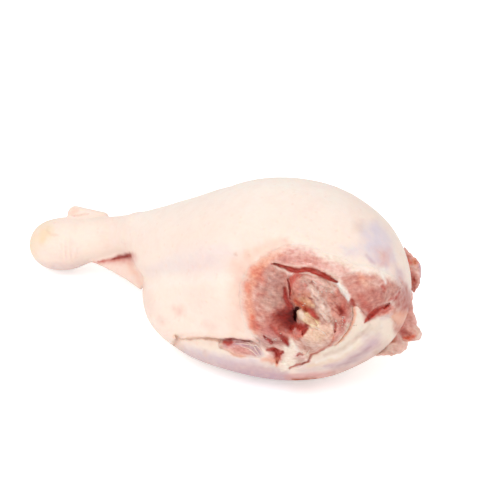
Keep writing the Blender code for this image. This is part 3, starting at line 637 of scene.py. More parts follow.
        (13, 4.5, 1.1), (17, 4.1, 1.2), (20, 2.6, 1.3), (23, 0.9, 1.1), (25, -0.4, 0.7),
        (26.6, -1.6, 0.35))),
    ("red", 0.85, 0.9, (
        (4, 4.6, 0.7), (7.4, 3.9, 1.2), (11, 3.9, 1.0), (18, 2.8, 0.8), (23, 0.3, 0.6))),
    ("milk", 0.6, 0.9, ((-1.6, 6.6, 0.3), (1, 5.3, 0.5), (3.2, 3.8, 0.6), (4.6, 2.8, 0.4))),
    # Painted shade along the groove down the lobe's right side.
    ("painted_shade", 0.5, 1.0, ((2.6, -4, 0.8), (3, -8, 1.4), (4.6, -10.6, 1.8), (6.4, -12, 1.2))),
    ("wine", 0.8, 1.0, ((2.8, -3.6, 0.7), (4, -8.4, 1.5), (5.6, -11.4, 1.7))),
    ("rust", 0.4, 1.0, ((7.6, -6.4, 1.2), (10, -9.4, 1.8), (13, -11.6, 1.2))),
    # Painted shade on the lobe beside the knob.
    ("painted_shade", 0.22, 6.0, ((-7, -1), (2, -1), (2, -5), (-6, -6))),
    ("brick", 0.3, 3.0, ((6.6, -0.6), (13, -1.2), (14.4, -5.4), (8, -6))),
    # A pale streak on the knob's top: partly pale fat, partly painted glints.
    ("milk", 0.4, 1.0, ((20.4, -1.8, 1.2), (23.4, -3.6, 1.6), (25, -5, 1.0))),
    # Painted shade along the lower edge of the top crack.
    ("painted_shade", 0.35, 1.0, ((-3, 7, 0.5), (0, 6.4, 0.7), (4, 4.6, 0.8), (9, 3.4, 0.5))),
    ("milk", 0.8, 0.8, ((9.6, 3, 0.25), (13, 3.2, 0.35), (16, 2.6, 0.35), (18, 1.6, 0.2))),
    ("milk", 0.7, 0.8, ((5.6, 6.6, 0.3), (10, 6.5, 0.4), (14, 6.1, 0.3))),
    ("wine", 0.75, 0.7, ((4.3, 0, 0.35), (5.3, -1.8, 0.45), (5.4, -4.2, 0.45), (5.8, -6.8, 0.4))),
    ("blood", 0.6, 1.0, ((1.4, -15, 1.4), (4.4, -17, 2.4), (6, -19.6, 2.0))),
    ("wine", 0.5, 1.0, ((0.6, -17.6, 1.0), (2.6, -20, 1.4), (5.4, -21.6, 1.2))),
    # Painted shade in the deep hole beside the bone, over dark blood.
    ("pitch", 0.6, 1.0, ((8.2, -12.2, 1.2), (6.6, -15, 1.8), (6, -18.6, 1.5))),
    ("pitch", 1.0, 0.8, (
        (8.9, -12.4, 0.8), (8.2, -14.0, 1.2), (7.8, -16.4, 1.0), (7.6, -18.4, 0.6))),
    ("rose", 0.7, 0.9, ((46, -16.4, 0.6), (50, -14.8, 0.8), (52.4, -12.4, 0.6))),
    ("red", 0.85, 1.0, (
        (40, -18.6, 0.6), (42, -16.6, 1.4), (44.6, -14.8, 2.0), (47.6, -13.4, 1.5),
        (51, -11.4, 0.7))),
    ("blood", 0.95, 0.8, (
        (39.4, -19.4, 0.3), (40.8, -17.7, 0.7), (42.2, -15.9, 0.9), (44.6, -14.2, 0.9),
        (47.4, -12.7, 0.6), (49.6, -11.4, 0.3))),
    ("coral", 0.3, 1.0, ((46.4, -15.6, 0.9), (49.6, -14.4, 1.0), (52, -12.6, 0.7))),
    ("red", 0.6, 1.0, ((38, -14.6, 0.8), (40.4, -17.2, 1.7), (43, -15.8, 2.0))),
    ("brick", 0.3, 3.0, ((37, -5), (46, -4), (49, -9.6), (42, -13.4), (37, -12))),
    ("brick", 0.35, 4.0, ((50.6, -6), (57.6, -6), (60, -12), (57, -14), (52, -10.4))),
    ("brick", 0.45, 2.0, ((53, -21.4), (58, -21), (58.6, -24), (53.4, -24))),
    ("peach", 0.5, 1.0, ((54.6, -17.6, 1.2), (58, -18, 1.6), (61, -18.4, 1.2))),
    ("muscle", 0.3, 1.0, ((23, -12, 1.2), (24.6, -15, 1.4))),
    ("brick", 0.22, 4.0, ((-9, 2.4), (2, 2.4), (3, -5), (-8, -4))),
    # Painted shade left of the hole by the bone.
    ("painted_shade", 0.35, 1.0, ((-1.4, -12.4, 1.0), (0.6, -14, 1.2), (1.6, -15.4, 0.9))),
    ("brick", 0.2, 1.0, ((27, -6, 1.6), (29, -9, 2.2), (30, -12, 1.4))),
    ("rose", 0.4, 1.0, ((29, -21, 1.4), (27, -25, 1.6))),
    ("cream", 0.55, 1.0, (
        (31.6, -20.6, 1.1), (32.6, -23.6, 1.4), (29.4, -26, 1.3), (28, -28.4, 1.2))),
    ("muscle", 0.4, 0.9, ((33.4, -2.6, 0.8), (33.9, -5, 1.0), (34.3, -7, 0.8))),
    ("milk", 0.3, 3.0, ((38, 0), (46, 0.6), (46, -4), (39, -3))),
    ("mauve", 0.35, 1.0, ((46.4, -18, 0.7), (49.6, -16.6, 0.8), (52, -15.4, 0.6))),
    ("white", 0.85, 0.6, (
        (27.2, -1.9, 0.7), (28.8, -3.4, 1.0), (30.6, -5.4, 1.2), (31.9, -7.4, 1.0),
        (32.3, -8.7, 0.6))),
    ("milk", 0.7, 0.9, ((21.5, 4.2, 0.5), (25, 2, 0.9), (27.6, -0.4, 0.9))),
    ("cream", 0.9, 1.2, (
        (5, -26.2), (7, -27.4), (8.8, -31), (7.4, -34), (7.6, -37.4), (5.4, -40.4), (1, -41.4),
        (0.4, -37.4), (2.6, -34), (1.4, -30.8), (4, -29.6))),
    ("milk", 0.7, 1.6, (
        (-9.6, -26.8), (-5.4, -29.4), (0, -29.6), (4, -29.4), (1, -31), (-5, -31), (-9, -30))),
    ("grey", 0.6, 0.9, ((-8.6, -27.4, 1.2), (-6, -29.4, 1.2))),
    # Painted shade below the lobe, round its grooves.
    ("painted_shade", 0.4, 4.0, (
        (-10, -26.4), (-4, -25.6), (4, -25.8), (5.2, -28.6), (0, -30.4), (-6, -30.6))),
    ("wine", 0.8, 0.9, ((-6.5, -25.7, 0.4), (-5, -27.2, 0.7), (-3.3, -28.4, 0.9))),
    ("wine", 0.9, 0.9, ((1.4, -25.6, 0.9), (3, -27.6, 1.4), (4.4, -29.2, 0.9))),
    ("plum", 0.35, 1.0, ((-9.6, -27.6, 1.4), (-6, -28.6, 1.6))),
    ("rose", 0.5, 1.0, ((-5, -33.4, 0.8), (-3.6, -35.4, 1.4), (-2.8, -37.4, 0.9))),
    ("red", 0.7, 1.0, ((-1.4, -31.8, 1.3), (0.6, -33.4, 1.9), (0.6, -36, 1.2))),
    ("brick", 0.7, 1.0, (
        (-4.6, -31.4, 0.8), (-2.4, -32.2, 1.4), (-1.4, -34, 1.8), (-1.2, -36.6, 1.2))),
    ("wine", 0.9, 0.8, (
        (-4.6, -31.4, 0.4), (-2, -31.4, 0.9), (-0.6, -32.8, 1.2), (-0.6, -34.8, 1.1))),
    ("blood", 0.9, 0.7, ((0.4, -33.6, 0.7), (1.8, -32.9, 0.8))),
    ("apricot", 0.8, 0.9, ((-0.2, -36, 0.8), (-0.4, -38.6, 0.7))),
    ("milk", 0.5, 2.4, ((7.6, -34), (12, -35), (12, -37), (8, -38), (6, -36))),
    ("grey", 0.6, 0.9, ((8.4, -36.2, 1.0), (11, -36.6, 1.2))),
    ("plum", 0.4, 1.0, ((8.4, -34.6, 1.2), (11, -35.6, 1.4))),
    ("brick", 0.55, 0.9, ((8.4, -34.4, 0.5), (9.8, -33.7, 0.6), (11.4, -34.2, 0.35))),
    ("rust", 0.6, 0.8, (
        (5.5, -40, 0.3), (8, -38.4, 0.4), (11, -38, 0.4), (13.5, -37, 0.5), (14.8, -35.4, 0.5),
        (15.4, -34, 0.4), (18, -32.9, 0.4), (21, -31.6, 0.35))),
    ("apricot", 0.7, 1.0, (
        (34.4, -12, 0.5), (34.9, -15.6, 0.6), (33.9, -19.8, 0.6), (31.6, -23.8, 0.6),
        (28.4, -27.6, 0.6), (25.4, -29.8, 0.4))),
    ("plum", 0.75, 2.6, SLIT),
    ("rose", 0.8, 2.6, (
        (-22.4, -30.4), (-18, -29.8), (-14, -30.8), (-11.4, -33), (-13, -34.4), (-17, -34),
        (-21, -32.8))),
    ("brick", 0.22, 2.0, ((-20, -30.6), (-15, -30.8), (-14, -33.6), (-18.6, -33.4))),
    ("milk", 0.5, 1.0, ((-23.4, -32, 0.7), (-19, -33.8, 0.9), (-13, -35, 0.9))),
    ("tan", 0.7, 0.9, ((-25.6, -28.4, 0.8), (-25.8, -30.6, 0.8))),
    ("apricot", 0.5, 0.9, ((-24, -31.4, 0.6), (-20, -33.6, 0.8), (-15, -34.6, 0.6))),
    ("red", 0.85, 0.8, ((-24, -28, 0.9), (-22.6, -28.4, 1.3), (-21, -27.8, 0.7))),
    ("blood", 0.9, 0.7, (
        (-25, -27.1, 0.35), (-22, -27, 0.5), (-19, -27, 0.4), (-15, -27.4, 0.3),
        (-12.6, -27.8, 0.2))),
    ("mauve", 0.7, 0.9, (
        (-19, -29, 0.5), (-14, -29.4, 0.6), (-10.6, -31, 0.8), (-7.6, -33.8, 1.2))),
    ("tan", 0.7, 0.8, ((-11.8, -28.2, 0.5), (-10.6, -28.8, 0.7))),
    ("apricot", 0.6, 1.0, ((-7, -36, 0.8), (-2.4, -36.4, 1.2), (-0.6, -37.4, 0.8))),
    ("tan", 0.8, 1.0, (
        (-44.5, -26.8, 0.4), (-40.4, -26.8, 0.7), (-36, -26.2, 0.5), (-32, -26.8, 0.8),
        (-26, -27.4, 0.8))),
    ("tan", 0.6, 1.0, (
        (-46.6, -24.8, 0.6), (-45.4, -26.6, 1.1), (-46, -28.6, 1.2), (-48, -29.6, 0.8))),
    ("tan", 0.35, 1.0, ((-33.4, -32.4, 0.6), (-32.6, -34, 0.8))),
    ("rust", 0.9, 1.0, ((7, -45.4, 0.5), (12, -45.8, 1.2), (17, -45.4, 0.9))),
    ("tan", 0.5, 1.0, ((-19.8, 11.9, 0.5), (-19.3, 11.5, 0.5))),
    ("tan", 0.4, 1.0, ((-13.4, 11.0, 0.5), (-13.0, 10.7, 0.4))),
)
BONE_TONES = (
    ("tan", 0.55, 1.0, ((11, -14, 1.6), (15, -18, 2.4), (18, -20, 1.6))),
    ("milk", 0.65, 0.8, ((10.4, -14, 1.2), (10.6, -16.6, 1.3))),
    # Painted shade round the bone's end, where it sinks into its hole, in grey and a dark tone.
    ("grey", 0.5, 1.0, ((10, -14, 1.3), (10.4, -17.2, 1.5))),
    ("painted_shade", 0.4, 1.0, ((8.6, -13.6, 0.7), (8.6, -17.6, 0.8), (10.6, -19.2, 0.7), (14, -21, 0.8))),
    ("rust", 0.4, 1.0, ((12.4, -15.2, 0.5), (15.6, -17.4, 0.8), (18.4, -19.6, 0.8))),
    ("rust", 0.6, 1.0, ((9.4, -12.4, 0.8), (11.4, -13.2, 0.8), (13, -14.6, 0.6))),
)
RAG_TONES = (
    ("muscle", 0.3, 3.0, ((57, 15), (62, 11), (65, 8), (66, -2), (62, -8), (56, -4))),
    ("brick", 0.6, 3.0, ((58, 7), (62, 7), (62.6, -3), (58, -3))),
    # Painted highlights on the rag, in pale streaks.
    ("milk", 0.4, 1.0, ((60, 6.6, 0.6), (62.4, 5, 0.9), (64, 2.6, 0.6))),
    ("coral", 0.85, 0.8, ((59.4, 9, 0.8), (60.6, 7.6, 0.9))),
    ("apricot", 0.9, 0.8, ((62, 9.2, 0.8), (62.6, 7.6, 0.9))),
    ("rust", 0.7, 0.8, ((62.6, 8.4, 0.5), (62.6, 7.2, 0.4))),
    ("coral", 0.9, 0.8, ((57.6, 5.2, 0.7), (57.9, 3, 0.9))),
    ("rust", 0.7, 0.8, ((57.6, 5.8, 0.4), (57.4, 3.8, 0.4))),
    ("coral", 0.8, 0.8, ((59.4, -0.4, 0.7), (60.4, -2, 0.9))),
    ("brick", 0.7, 0.8, ((61.6, 1, 0.6), (62.4, -1, 0.9), (62.4, -4.6, 0.6))),
    ("wine", 0.8, 0.8, ((61.8, 0.8, 0.4), (61.9, -0.2, 0.3))),
    # The rag's right edge in purple, partly painted shade.
    ("mauve", 0.6, 0.9, ((64.6, 7, 0.5), (65, 3, 0.6), (64.6, -1, 0.5))),
)
FLAP_TONES = (
    ("rose", 0.85, 3.0, (
        (43, -35), (50, -28), (54, -20), (62, -19), (66, -24), (66, -28), (56, -34))),
    ("peach", 0.5, 3.0, ((56, -28), (58, -22), (64, -21), (66, -26), (60, -29))),
    ("milk", 0.75, 3.0, ((44, -34), (50, -29), (58, -26.6), (60, -31), (54, -34.6))),
    ("milk", 0.7, 0.9, (
        (53.4, -22.6, 0.5), (54.8, -25.6, 0.7), (57, -28, 0.7), (59.4, -28.6, 0.5))),
    ("milk", 0.6, 0.9, ((62, -21.4, 0.8), (65, -24, 1.2), (63, -26.8, 0.8))),
    # Painted shade in the gap between the two flaps.
    ("brick", 0.5, 0.9, ((51.4, -26.6, 0.6), (52.6, -25.2, 0.9), (53.6, -23.6, 0.6))),
    ("rust", 0.7, 0.9, ((51, -27.6, 0.7), (53, -27.4, 0.9))),
    ("red", 0.6, 0.9, ((55.8, -23, 0.8), (57, -24.2, 1.6), (59.4, -24.8, 1.3))),
    ("coral", 0.85, 0.9, ((57.4, -26.4, 0.8), (60, -26.4, 1.1), (61.6, -25.6, 0.8))),
    ("brick", 0.7, 0.9, ((53.6, -21.8, 0.5), (56, -21.2, 0.7), (57.6, -22.4, 0.6))),
    ("tan", 0.6, 0.8, ((44, -34.6, 0.5), (50, -34.4, 0.5), (55, -33.8, 0.5))),
)

# Blotches of blush over a piece's base: strength, size and seed. How unevenly the tones
# take: the share and, for every other tone, the size and seed.
BLOTCH = (0.45, 17.0, 91)
MOTTLE_SHARE = 0.35
MOTTLE = ((2.6, 93), (1.4, 95))

# Blood gathers in the grooves, but not in those as deep as GROOVE_DARK. Each wrinkle's crease
# is painted in shade, deeper in tone than the tops beside it, which get a painted highlight.
GROOVE_RED = 0.5
GROOVE_DARK = 3.0
CREASE_SHADE = 0.8
CREASE_TINT = (0.74, 0.5, 0.44)
TOP_HIGHLIGHT = 0.3

# The space that each mesh is worked out in, and the step of its grid.
SKIN_GRID = ((-146.0, -56.0, -4.0), (80.0, 50.0, 92.0), 0.8)
MUSCLE_GRID = ((-24.0, -62.0, -2.0), (74.0, 18.0, 80.0), 0.5)
KNOB_GRID = ((8.0, -62.0, 6.0), (66.0, 8.0, 70.0), 0.36)
SLIT_GRID = ((-50.0, -56.0, -2.0), (24.0, -6.0, 40.0), 0.42)
FAT_GRID = ((-24.0, -62.0, -2.0), (74.0, 18.0, 80.0), 0.42)
BONE_GRID = ((-10.0, -62.0, 0.0), (50.0, 10.0, 60.0), 0.42)
SCRAP_GRID = ((20.0, -60.0, -2.0), (80.0, 40.0, 70.0), 0.42)

# Grid points are worked out in blocks of BLOCK a side, BLOCKS_AT_ONCE together, where the
# surface is nearer than BLOCK_MARGIN. Distances are kept up to BAND steps.
BLOCK = 6
BLOCKS_AT_ONCE = 2000
BLOCK_MARGIN = 1.2
BAND = 3.0

# Where a thread's place on the leg is looked for, towards the leg from in front of it.
RAY_START = 60.0
RAY_STEP = 0.1

# The share of light that the palest skin reflects. The tones are scaled to it.
PALEST = 0.84

# The stage, in metres: the floor's half width and how far below the leg it lies, how
# much it glows to the camera, the point that the lights look at, and each light's place
# and size. The side light has a share of the overhead one's power.
FLOOR_REACH = 3.0
FLOOR_DROP = 0.0002
SHADOW_LIGHT = 0.35
WHITE = (1.0, 1.0, 1.0)
BLACK = (0.0, 0.0, 0.0)
LIT_POINT = (0, 0, 0.04)
OVERHEAD = ((-0.1, -0.7, 1.0), 0.8)
SIDE = ((1.0, -0.6, 0.7), 0.8)
SIDE_SHARE = 0.35
GLINT = ((0.2, -1.0, 1.3), 0.1)
SENSOR = 36.0


def srgb(red, green, blue):
    """A tone given as 0 to 255 in sRGB, as the share of light that it reflects."""
    tones = (red, green, blue)
    linear = [((c / 255 + 0.055) / 1.055) ** 2.4 if c > 10 else c / 3295 for c in tones]
    return tuple(PALEST * share for share in linear)


# ---------------------------------------------------------------- distances


def dot(a, b):
    return a[..., 0] * b[0] + a[..., 1] * b[1] + a[..., 2] * b[2]


def smooth(value):
    """A share from nothing to one, eased at both ends."""
    value = np.clip(value, 0.0, 1.0)
    return value * value * (3.0 - 2.0 * value)


def join(a, b, blend):
    """Two solids made one, with a fillet about as wide as blend."""
    near = np.maximum(blend - np.abs(a - b), 0.0) / blend
    return np.minimum(a, b) - near * near * blend * 0.25


def cut(solid, tool, blend):
    """A solid without the tool's space, its new edge rounded over about blend."""
    return -join(-solid, tool, blend)


def meet(a, b, blend):
    """The space that two solids share, its edge rounded over about blend."""
    return -join(-a, -b, blend)


def ellipsoid(p, middle, half, pitch=0.0):
    """Distance to an ellipsoid, which may be pitched about Y."""
    turn = math.radians(pitch)
    q = p - np.array(middle, np.float32)
    x = q[..., 0] * math.cos(turn) - q[..., 2] * math.sin(turn)
    z = q[..., 0] * math.sin(turn) + q[..., 2] * math.cos(turn)
    q = np.stack((x, q[..., 1], z), -1)
    half = np.array(half, np.float32)
    outer = np.sqrt(((q / half) ** 2).sum(-1))
    slope = np.sqrt(((q / half ** 2) ** 2).sum(-1)) + 1e-6
    return outer * (outer - 1.0) / slope


def capsule(p, start, end, start_radius, end_radius):
    """Distance to a round bar whose radius runs evenly from end to end."""
    start = np.array(start, np.float32)
    run = np.array(end, np.float32) - start
    q = p - start
    part = np.clip(dot(q, run) / float(run @ run), 0.0, 1.0)
    gap = np.sqrt(((q - part[..., None] * run) ** 2).sum(-1))
    return gap - (start_radius + (end_radius - start_radius) * part)


def noise(p, size, seed=0):
    """Smooth random lumps about size across, between -1 and 1."""
    q = p / np.array(size, np.float32)
    cell = np.floor(q)
    part = (q - cell).astype(np.float32)
    part = part * part * (3.0 - 2.0 * part)
    cell = cell.astype(np.int64)
    total = np.zeros(q.shape[:-1], np.float32)
    for corner in itertools.product((0, 1), repeat=3):
        key = (cell[..., 0] + corner[0]) * 73856093
        key ^= (cell[..., 1] + corner[1]) * 19349663
        key ^= (cell[..., 2] + corner[2]) * 83492791 + seed * 26544357
        key = (key & 0xFFFFFFFF) * 1274126177 & 0xFFFFFFFF
        key = (key ^ (key >> 15)) * 2246822519 & 0xFFFFFFFF
        value = ((key >> 11) & 0xFFFF).astype(np.float32) / 32767.5 - 1.0
        weight = 1.0
        for axis in range(3):
            weight = weight * (part[..., axis] if corner[axis] else 1.0 - part[..., axis])
        total += value * weight
    return total


def lumpy(p, rise, size, seed):
    """Smooth random lumps that rise and sink by so much."""
    return rise * noise(p, size, seed)


# ---------------------------------------------------------------- the chart


def chart_axes():
    """Across, up and out of the chart as unit directions."""
    turn = math.radians(CHART_TURN)
    lift = math.radians(CHART_LIFT)
    across = np.array((math.cos(turn), math.sin(turn), 0.0))
    out = (math.sin(turn) * math.cos(lift), -math.cos(turn) * math.cos(lift), math.sin(lift))
    out = np.array(out)
    return across, np.cross(out, across), out


def chart(p):
    """Where a point falls on the chart, and how far in front of it the point is."""
    across, up, out = chart_axes()
    q = p - np.array(CHART_MIDDLE, np.float32)
    aside, above = CAMERA_ASIDE
    front = dot(q, out)
    grow = CHART_REACH / (CHART_REACH - front)
    return (dot(q, across) - aside) * grow + aside, (dot(q, up) - above) * grow + above, front


def near_side(p):
    """Above zero on the leg's near side, as the chart sees it, and below zero behind."""
    return masses(p + (NEAR_STEP * chart_axes()[2]).astype(np.float32))


def near_share(near):
    """One on the near side and nothing behind, for what near_side gives."""
    return smooth(near / NEAR_SOFT + NEAR_EDGE)


def outline_gap(u, v, outline):
    """Distance on the chart to a closed outline, below zero inside it."""
    inside = np.zeros(u.shape, bool)
    best = np.full(u.shape, 1e6, np.float32)
    closed = tuple(outline) + (outline[0],)
    for (ax, ay), (bx, by) in zip(closed, closed[1:]):
        dx, dy = bx - ax, by - ay
        part = np.clip(((u - ax) * dx + (v - ay) * dy) / (dx * dx + dy * dy), 0.0, 1.0)
        best = np.minimum(best, (u - ax - part * dx) ** 2 + (v - ay - part * dy) ** 2)
        if ay != by:
            inside ^= ((ay > v) != (by > v)) & (u < dx * (v - ay) / dy + ax)
    gap = np.sqrt(best)
    return np.where(inside, -gap, gap)


def stroke_gap(u, v, stroke):
    """How far a place on the chart is from a stroke, in half widths of the stroke there."""
    best = np.full(u.shape, 1e6, np.float32)
    for (ax, ay, aw), (bx, by, bw) in zip(stroke, stroke[1:]):
        dx, dy = bx - ax, by - ay
        part = np.clip(((u - ax) * dx + (v - ay) * dy) / (dx * dx + dy * dy), 0.0, 1.0)
        gap = np.hypot(u - ax - part * dx, v - ay - part * dy)
        best = np.minimum(best, gap / (aw + (bw - aw) * part))
    return best


def bump(u, v, middle, half):
    """One at the middle of an oval on the chart, falling softly to nothing at its edge."""
    reach = ((u - middle[0]) / half[0]) ** 2 + ((v - middle[1]) / half[1]) ** 2
    return np.clip(1.0 - reach, 0.0, 1.0) ** 2


def mark(u, v, points, soft):
    """One inside an outline or on a stroke and nothing off it, with a soft edge."""
    if len(points[0]) == 2:
        return smooth(0.5 - outline_gap(u, v, points) / soft)
    return smooth((1.0 + soft - stroke_gap(u, v, points)) / (2.0 * soft))


def rod(u, v, depth, stroke, half_depth, level=0.0):
    """An oval rod that follows a stroke over a surface."""
    width = sum(point[2] for point in stroke) / len(stroke)
    gap = np.hypot(stroke_gap(u, v, stroke), (depth - level) / half_depth) - 1.0
    return gap * min(width, half_depth)


def ragged(u, v, p, amount, size, seed):
    """The chart's sizes with their lines made uneven, as flesh is."""
    return u + amount * noise(p, size, seed), v + amount * noise(p, size, seed + 1)


# ---------------------------------------------------------------- the leg's own forms


def masses(p):
    """Thigh, drumstick, heel, calf and shank as one smooth mass on its foot."""
    drumstick = ellipsoid(p, *DRUMSTICK, DRUMSTICK_PITCH)
    leg = join(ellipsoid(p, *THIGH), drumstick, DRUMSTICK_FILLET)
    leg = join(leg, ellipsoid(p, *HEEL), HEEL_FILLET)
    leg = join(leg, capsule(p, *CALF), CALF_FILLET)
    shank = join(capsule(p, *SHANK), ellipsoid(p, *HOCK_HEEL), HOCK_FILLET)
    leg = join(leg, shank, SHANK_FILLET)
    return cut(leg, p[..., 2], FOOT_ROUND)


def outer_surface(p):
    """The leg as its skin would lie with no cut in it, the chart's sizes there, and how
    far all that is laid out on the chart has sunk away on the leg's far side."""
    u, v, front = chart(p)
    near = near_side(p)
    relief = -VALLEY_DEPTH * np.exp(-stroke_gap(u, v, VALLEY) ** 2)
    for middle, half, rise in SKIN_SWELLINGS:
        relief += rise * bump(u, v, middle, half)
    lumps = sum(lumpy(p, *lump) for lump in LUMPS) - LUMP_SINK
    off_foot = np.clip(p[..., 2] / FOOT_HEIGHT, 0.0, 1.0)
    surface = masses(p) - relief * near_share(near) - lumps * off_foot
    return surface, u, v, front, FADE_FALL * np.maximum(FADE_FROM - near, 0.0)


def sheet(u, v, front, outline, depth, lean, half):
    """A thin skin that stands across the way that the chart looks."""
    edge = outline_gap(u, v, outline) - half * 0.4
    through = (np.abs(front - depth - lean * u) - half * 0.4) / math.hypot(1.0, lean)
    return np.hypot(np.maximum(edge + half, 0.0), np.maximum(through, 0.0)) - half * 0.6


def flesh_places(u, v, p):
    """The chart's sizes as the flesh's own ragged lines follow them."""
    for amount, size, seed in WANDER:
        u, v = ragged(u, v, p, amount, size, seed)
    return u, v


def tissue(u, v):
    """Wrinkles that run down across the flesh: minus one in a crease, up to one on top."""
    drawn = np.stack((0.32 * (u - v), 0.72 * (u + v), 0.0 * u), -1)
    total = 0.0
    for share, size, seed in WRINKLES:
        total = total + share * (2.0 * np.sqrt(np.abs(noise(drawn, size, seed))) - 1.0)
    return total


def skin_distance(p):
    """The skin, with the web under the shank, the nub, the slit and room for the cut."""
    surface, u, v, front, far = outer_surface(p)
    rings = np.sin(u * RING_TURNS + 0.9 * noise(p, 5.0, 8))
    rings = rings * bump(u, v, *HOCK_RINGS) * smooth(1.0 - far)
    skin = join(surface - RING_RISE * rings, capsule(p, *NUB), NUB_FILLET)
    skin = join(skin, sheet(u, v, front, *WEB), WEB_FILLET)
    for stroke in (SLIT_LIP, NOTCH_LIP):
        skin = join(skin, rod(u, v, surface + far, stroke, LIP_RISE), LIP_FILLET)
    u, v = flesh_places(u, v, p)
    for depth, stroke in CREASES:
        skin = cut(skin, rod(u, v, surface + far, stroke, depth), CREASE_ROUND)
    for outline, edge in ((SLIT, SLIT_ROUND), (CUT_RIM, RIM_ROUND)):
        opening = np.maximum(outline_gap(u, v, outline), -(surface + OPENING_DEPTH) + far)
        skin = cut(skin, opening, edge)
    return skin


def cut_level(surface, u, v, p):
    """The cut's own level: the lobe swells, and the hollow by the bone dips."""
    relief = CUT_LEVEL
    for middle, half, rise in CUT_SWELLINGS:
        relief = relief + rise * bump(u, v, middle, half)
    drawn = np.stack((u * 0.35 + v * 0.2, v * 1.2 - u * 0.3, u * 0.0), -1)
    return surface - relief - CUT_FIBRE * noise(drawn, 1.0, 55)


def worked(flesh, u, v, rough):
    """Flesh with its ridges, crumbs of tissue and grooves."""
    level = flesh
    for rise, stroke in RIDGES:
        flesh = join(flesh, rod(u, v, level, stroke, rise), RIDGE_FILLET)
    for stroke in FLECKS:
        flesh = join(flesh, rod(u, v, flesh, stroke, FLECK_RISE), FLECK_FILLET)
    for depth, stroke in GROOVES:
        flesh = cut(flesh, rod(u, v, level, stroke, depth) + rough, GROOVE_ROUND)
    return flesh


def muscle_distance(p):
    """The cut muscle: the left lobe, the band above the knob and the muscle beside it."""
    surface, u, v, front, far = outer_surface(p)
    u, v = flesh_places(u, v, p)
    rim = outline_gap(u, v, CUT_RIM)
    under_knob = smooth(-outline_gap(u, v, KNOB) / 3.0)
    under_skin = np.clip(rim - 0.3, 0.0, 3.0)
    fine = lumpy(p, *MUSCLE_GRAIN) + MUSCLE_WRINKLE * tissue(u, v)
    crumbly = 0.4 + bump(u, v, *BONE_HOLLOW[:2])
    flesh = cut_level(surface, u, v, p) + far + 0.35 * under_skin + 1.5 * under_knob
    flesh = worked(flesh - fine * crumbly, u, v, lumpy(p, *MUSCLE_RAGGED))
    depth, past = MUSCLE_REACH
    return np.maximum(flesh, np.maximum(rim - past, -(surface + depth)))


def knob_rise(edge):
    """How high the knob stands at a distance from its outline, below zero inside it."""
    return KNOB_EDGE_RISE * (1.0 - np.exp(np.minimum(edge - KNOB_SKIRT, 0.0) / KNOB_EDGE_SOFT))


def knob_distance(p):
    """The meat round the end of the bone, in its folds."""
    surface, u, v, front, far = outer_surface(p)
    u, v = flesh_places(u, v, p)
    edge = outline_gap(u, v, KNOB)
    fine = lumpy(p, *KNOB_FOLDS) + lumpy(p, *KNOB_GRAIN) + KNOB_WRINKLE * tissue(u, v)
    flesh = cut_level(surface, u, v, p) + far - knob_rise(edge) + KNOB_FALL * np.maximum(edge, 0.0)
    flesh = flesh - fine * smooth(-edge / 3.0)
    flesh = worked(flesh, u, v, lumpy(p, *KNOB_RAGGED))
    depth, past = KNOB_REACH
    return np.maximum(flesh, np.maximum(edge - past, -(surface + depth)))


def slit_distance(p):
    """The meat that shows in the slit below the skin's lip."""
    surface, u, v, front, far = outer_surface(p)
    fibre = noise(np.stack((u * 0.15 + v * 0.1, v * 1.1, u * 0.0), -1), 1.0, 61)
    fall, level, half = SLIT_DIP
    under_lip = fall * np.exp(-((v - level) / half) ** 2)
    meat = surface + far + SLIT_LEVEL - SLIT_FIBRE * fibre + under_lip
    depth, past = SLIT_REACH
    return np.maximum(meat, np.maximum(outline_gap(u, v, SLIT) - past, -(surface + depth)))


def fat_distance(p):
    """The fat: the spike beside the knob, the band below it, the strip and the lips."""
    surface, u, v, front, far = outer_surface(p)
    u, v = flesh_places(u, v, p)
    bed = surface + far - lumpy(p, *FAT_GRAIN)
    parts = []
    for outline, (past, rise, edge) in ((FAT_SPIKE, FAT_SPIKE_FORM), (FAT_BAND, FAT_BAND_FORM)):
        parts.append(meet(outline_gap(u, v, outline) - past, bed - rise, edge))
    fat = join(*parts, FAT_FILLET)
    for rise, stroke in FAT_STROKES:
        fat = join(fat, rod(u, v, bed, stroke, rise, FAT_STROKE_LEVEL), FAT_STROKE_FILLET)
    return np.maximum(fat, -(surface + FAT_DEPTH))


def bone_distance(p):
    """The cut end of the bone in its hole."""
    surface, u, v, front, far = outer_surface(p)
    u, v = flesh_places(u, v, p)
    level = cut_level(surface, u, v, p) - KNOB_EDGE_RISE * BONE_LIFT
    for lump in BONE_GRAIN:
        level = level - lumpy(p, *lump)
    bone = rod(u, v, level + far, BONE, BONE_HALF_DEPTH, BONE_RISE - BONE_HALF_DEPTH)
    return np.maximum(bone, -(level + BONE_DEPTH))


def scrap_distance(outline, depth, lean, half, seed, hollow=None):
    """A torn, folded scrap of skin and membrane that hangs from the cut."""
    def distance(p):
        u, v, front = chart(p)
        height, turns_up, turns_across = SCRAP_FOLD
        fold = height * np.sin(v * turns_up + turns_across * u) + lumpy(p, *SCRAP_BUCKLE, seed + 2)
        edge_u, edge_v = ragged(u, v, p, *SCRAP_WANDER, seed)
        scrap = sheet(edge_u, edge_v, front + fold, outline, depth, lean, half)
        scrap = scrap - lumpy(p, *SCRAP_LUMPS, seed + 4) - lumpy(p, *SCRAP_GRAIN, seed + 5)
        if hollow:
            deep = (front + fold - depth - half - 1.0) / 2.6
            bowl = np.hypot(stroke_gap(u, v, hollow), deep) - 1.0
            scrap = cut(scrap, bowl * 1.6, 0.8)
        return scrap
    return distance


# ---------------------------------------------------------------- meshes


def to_frame(points):
    """Places in millimetres as places in the frame, in metres."""
    return (points - np.array(ORIGIN)) * MM


def from_frame(points):
    return (points / MM + np.array(ORIGIN)).astype(np.float32)


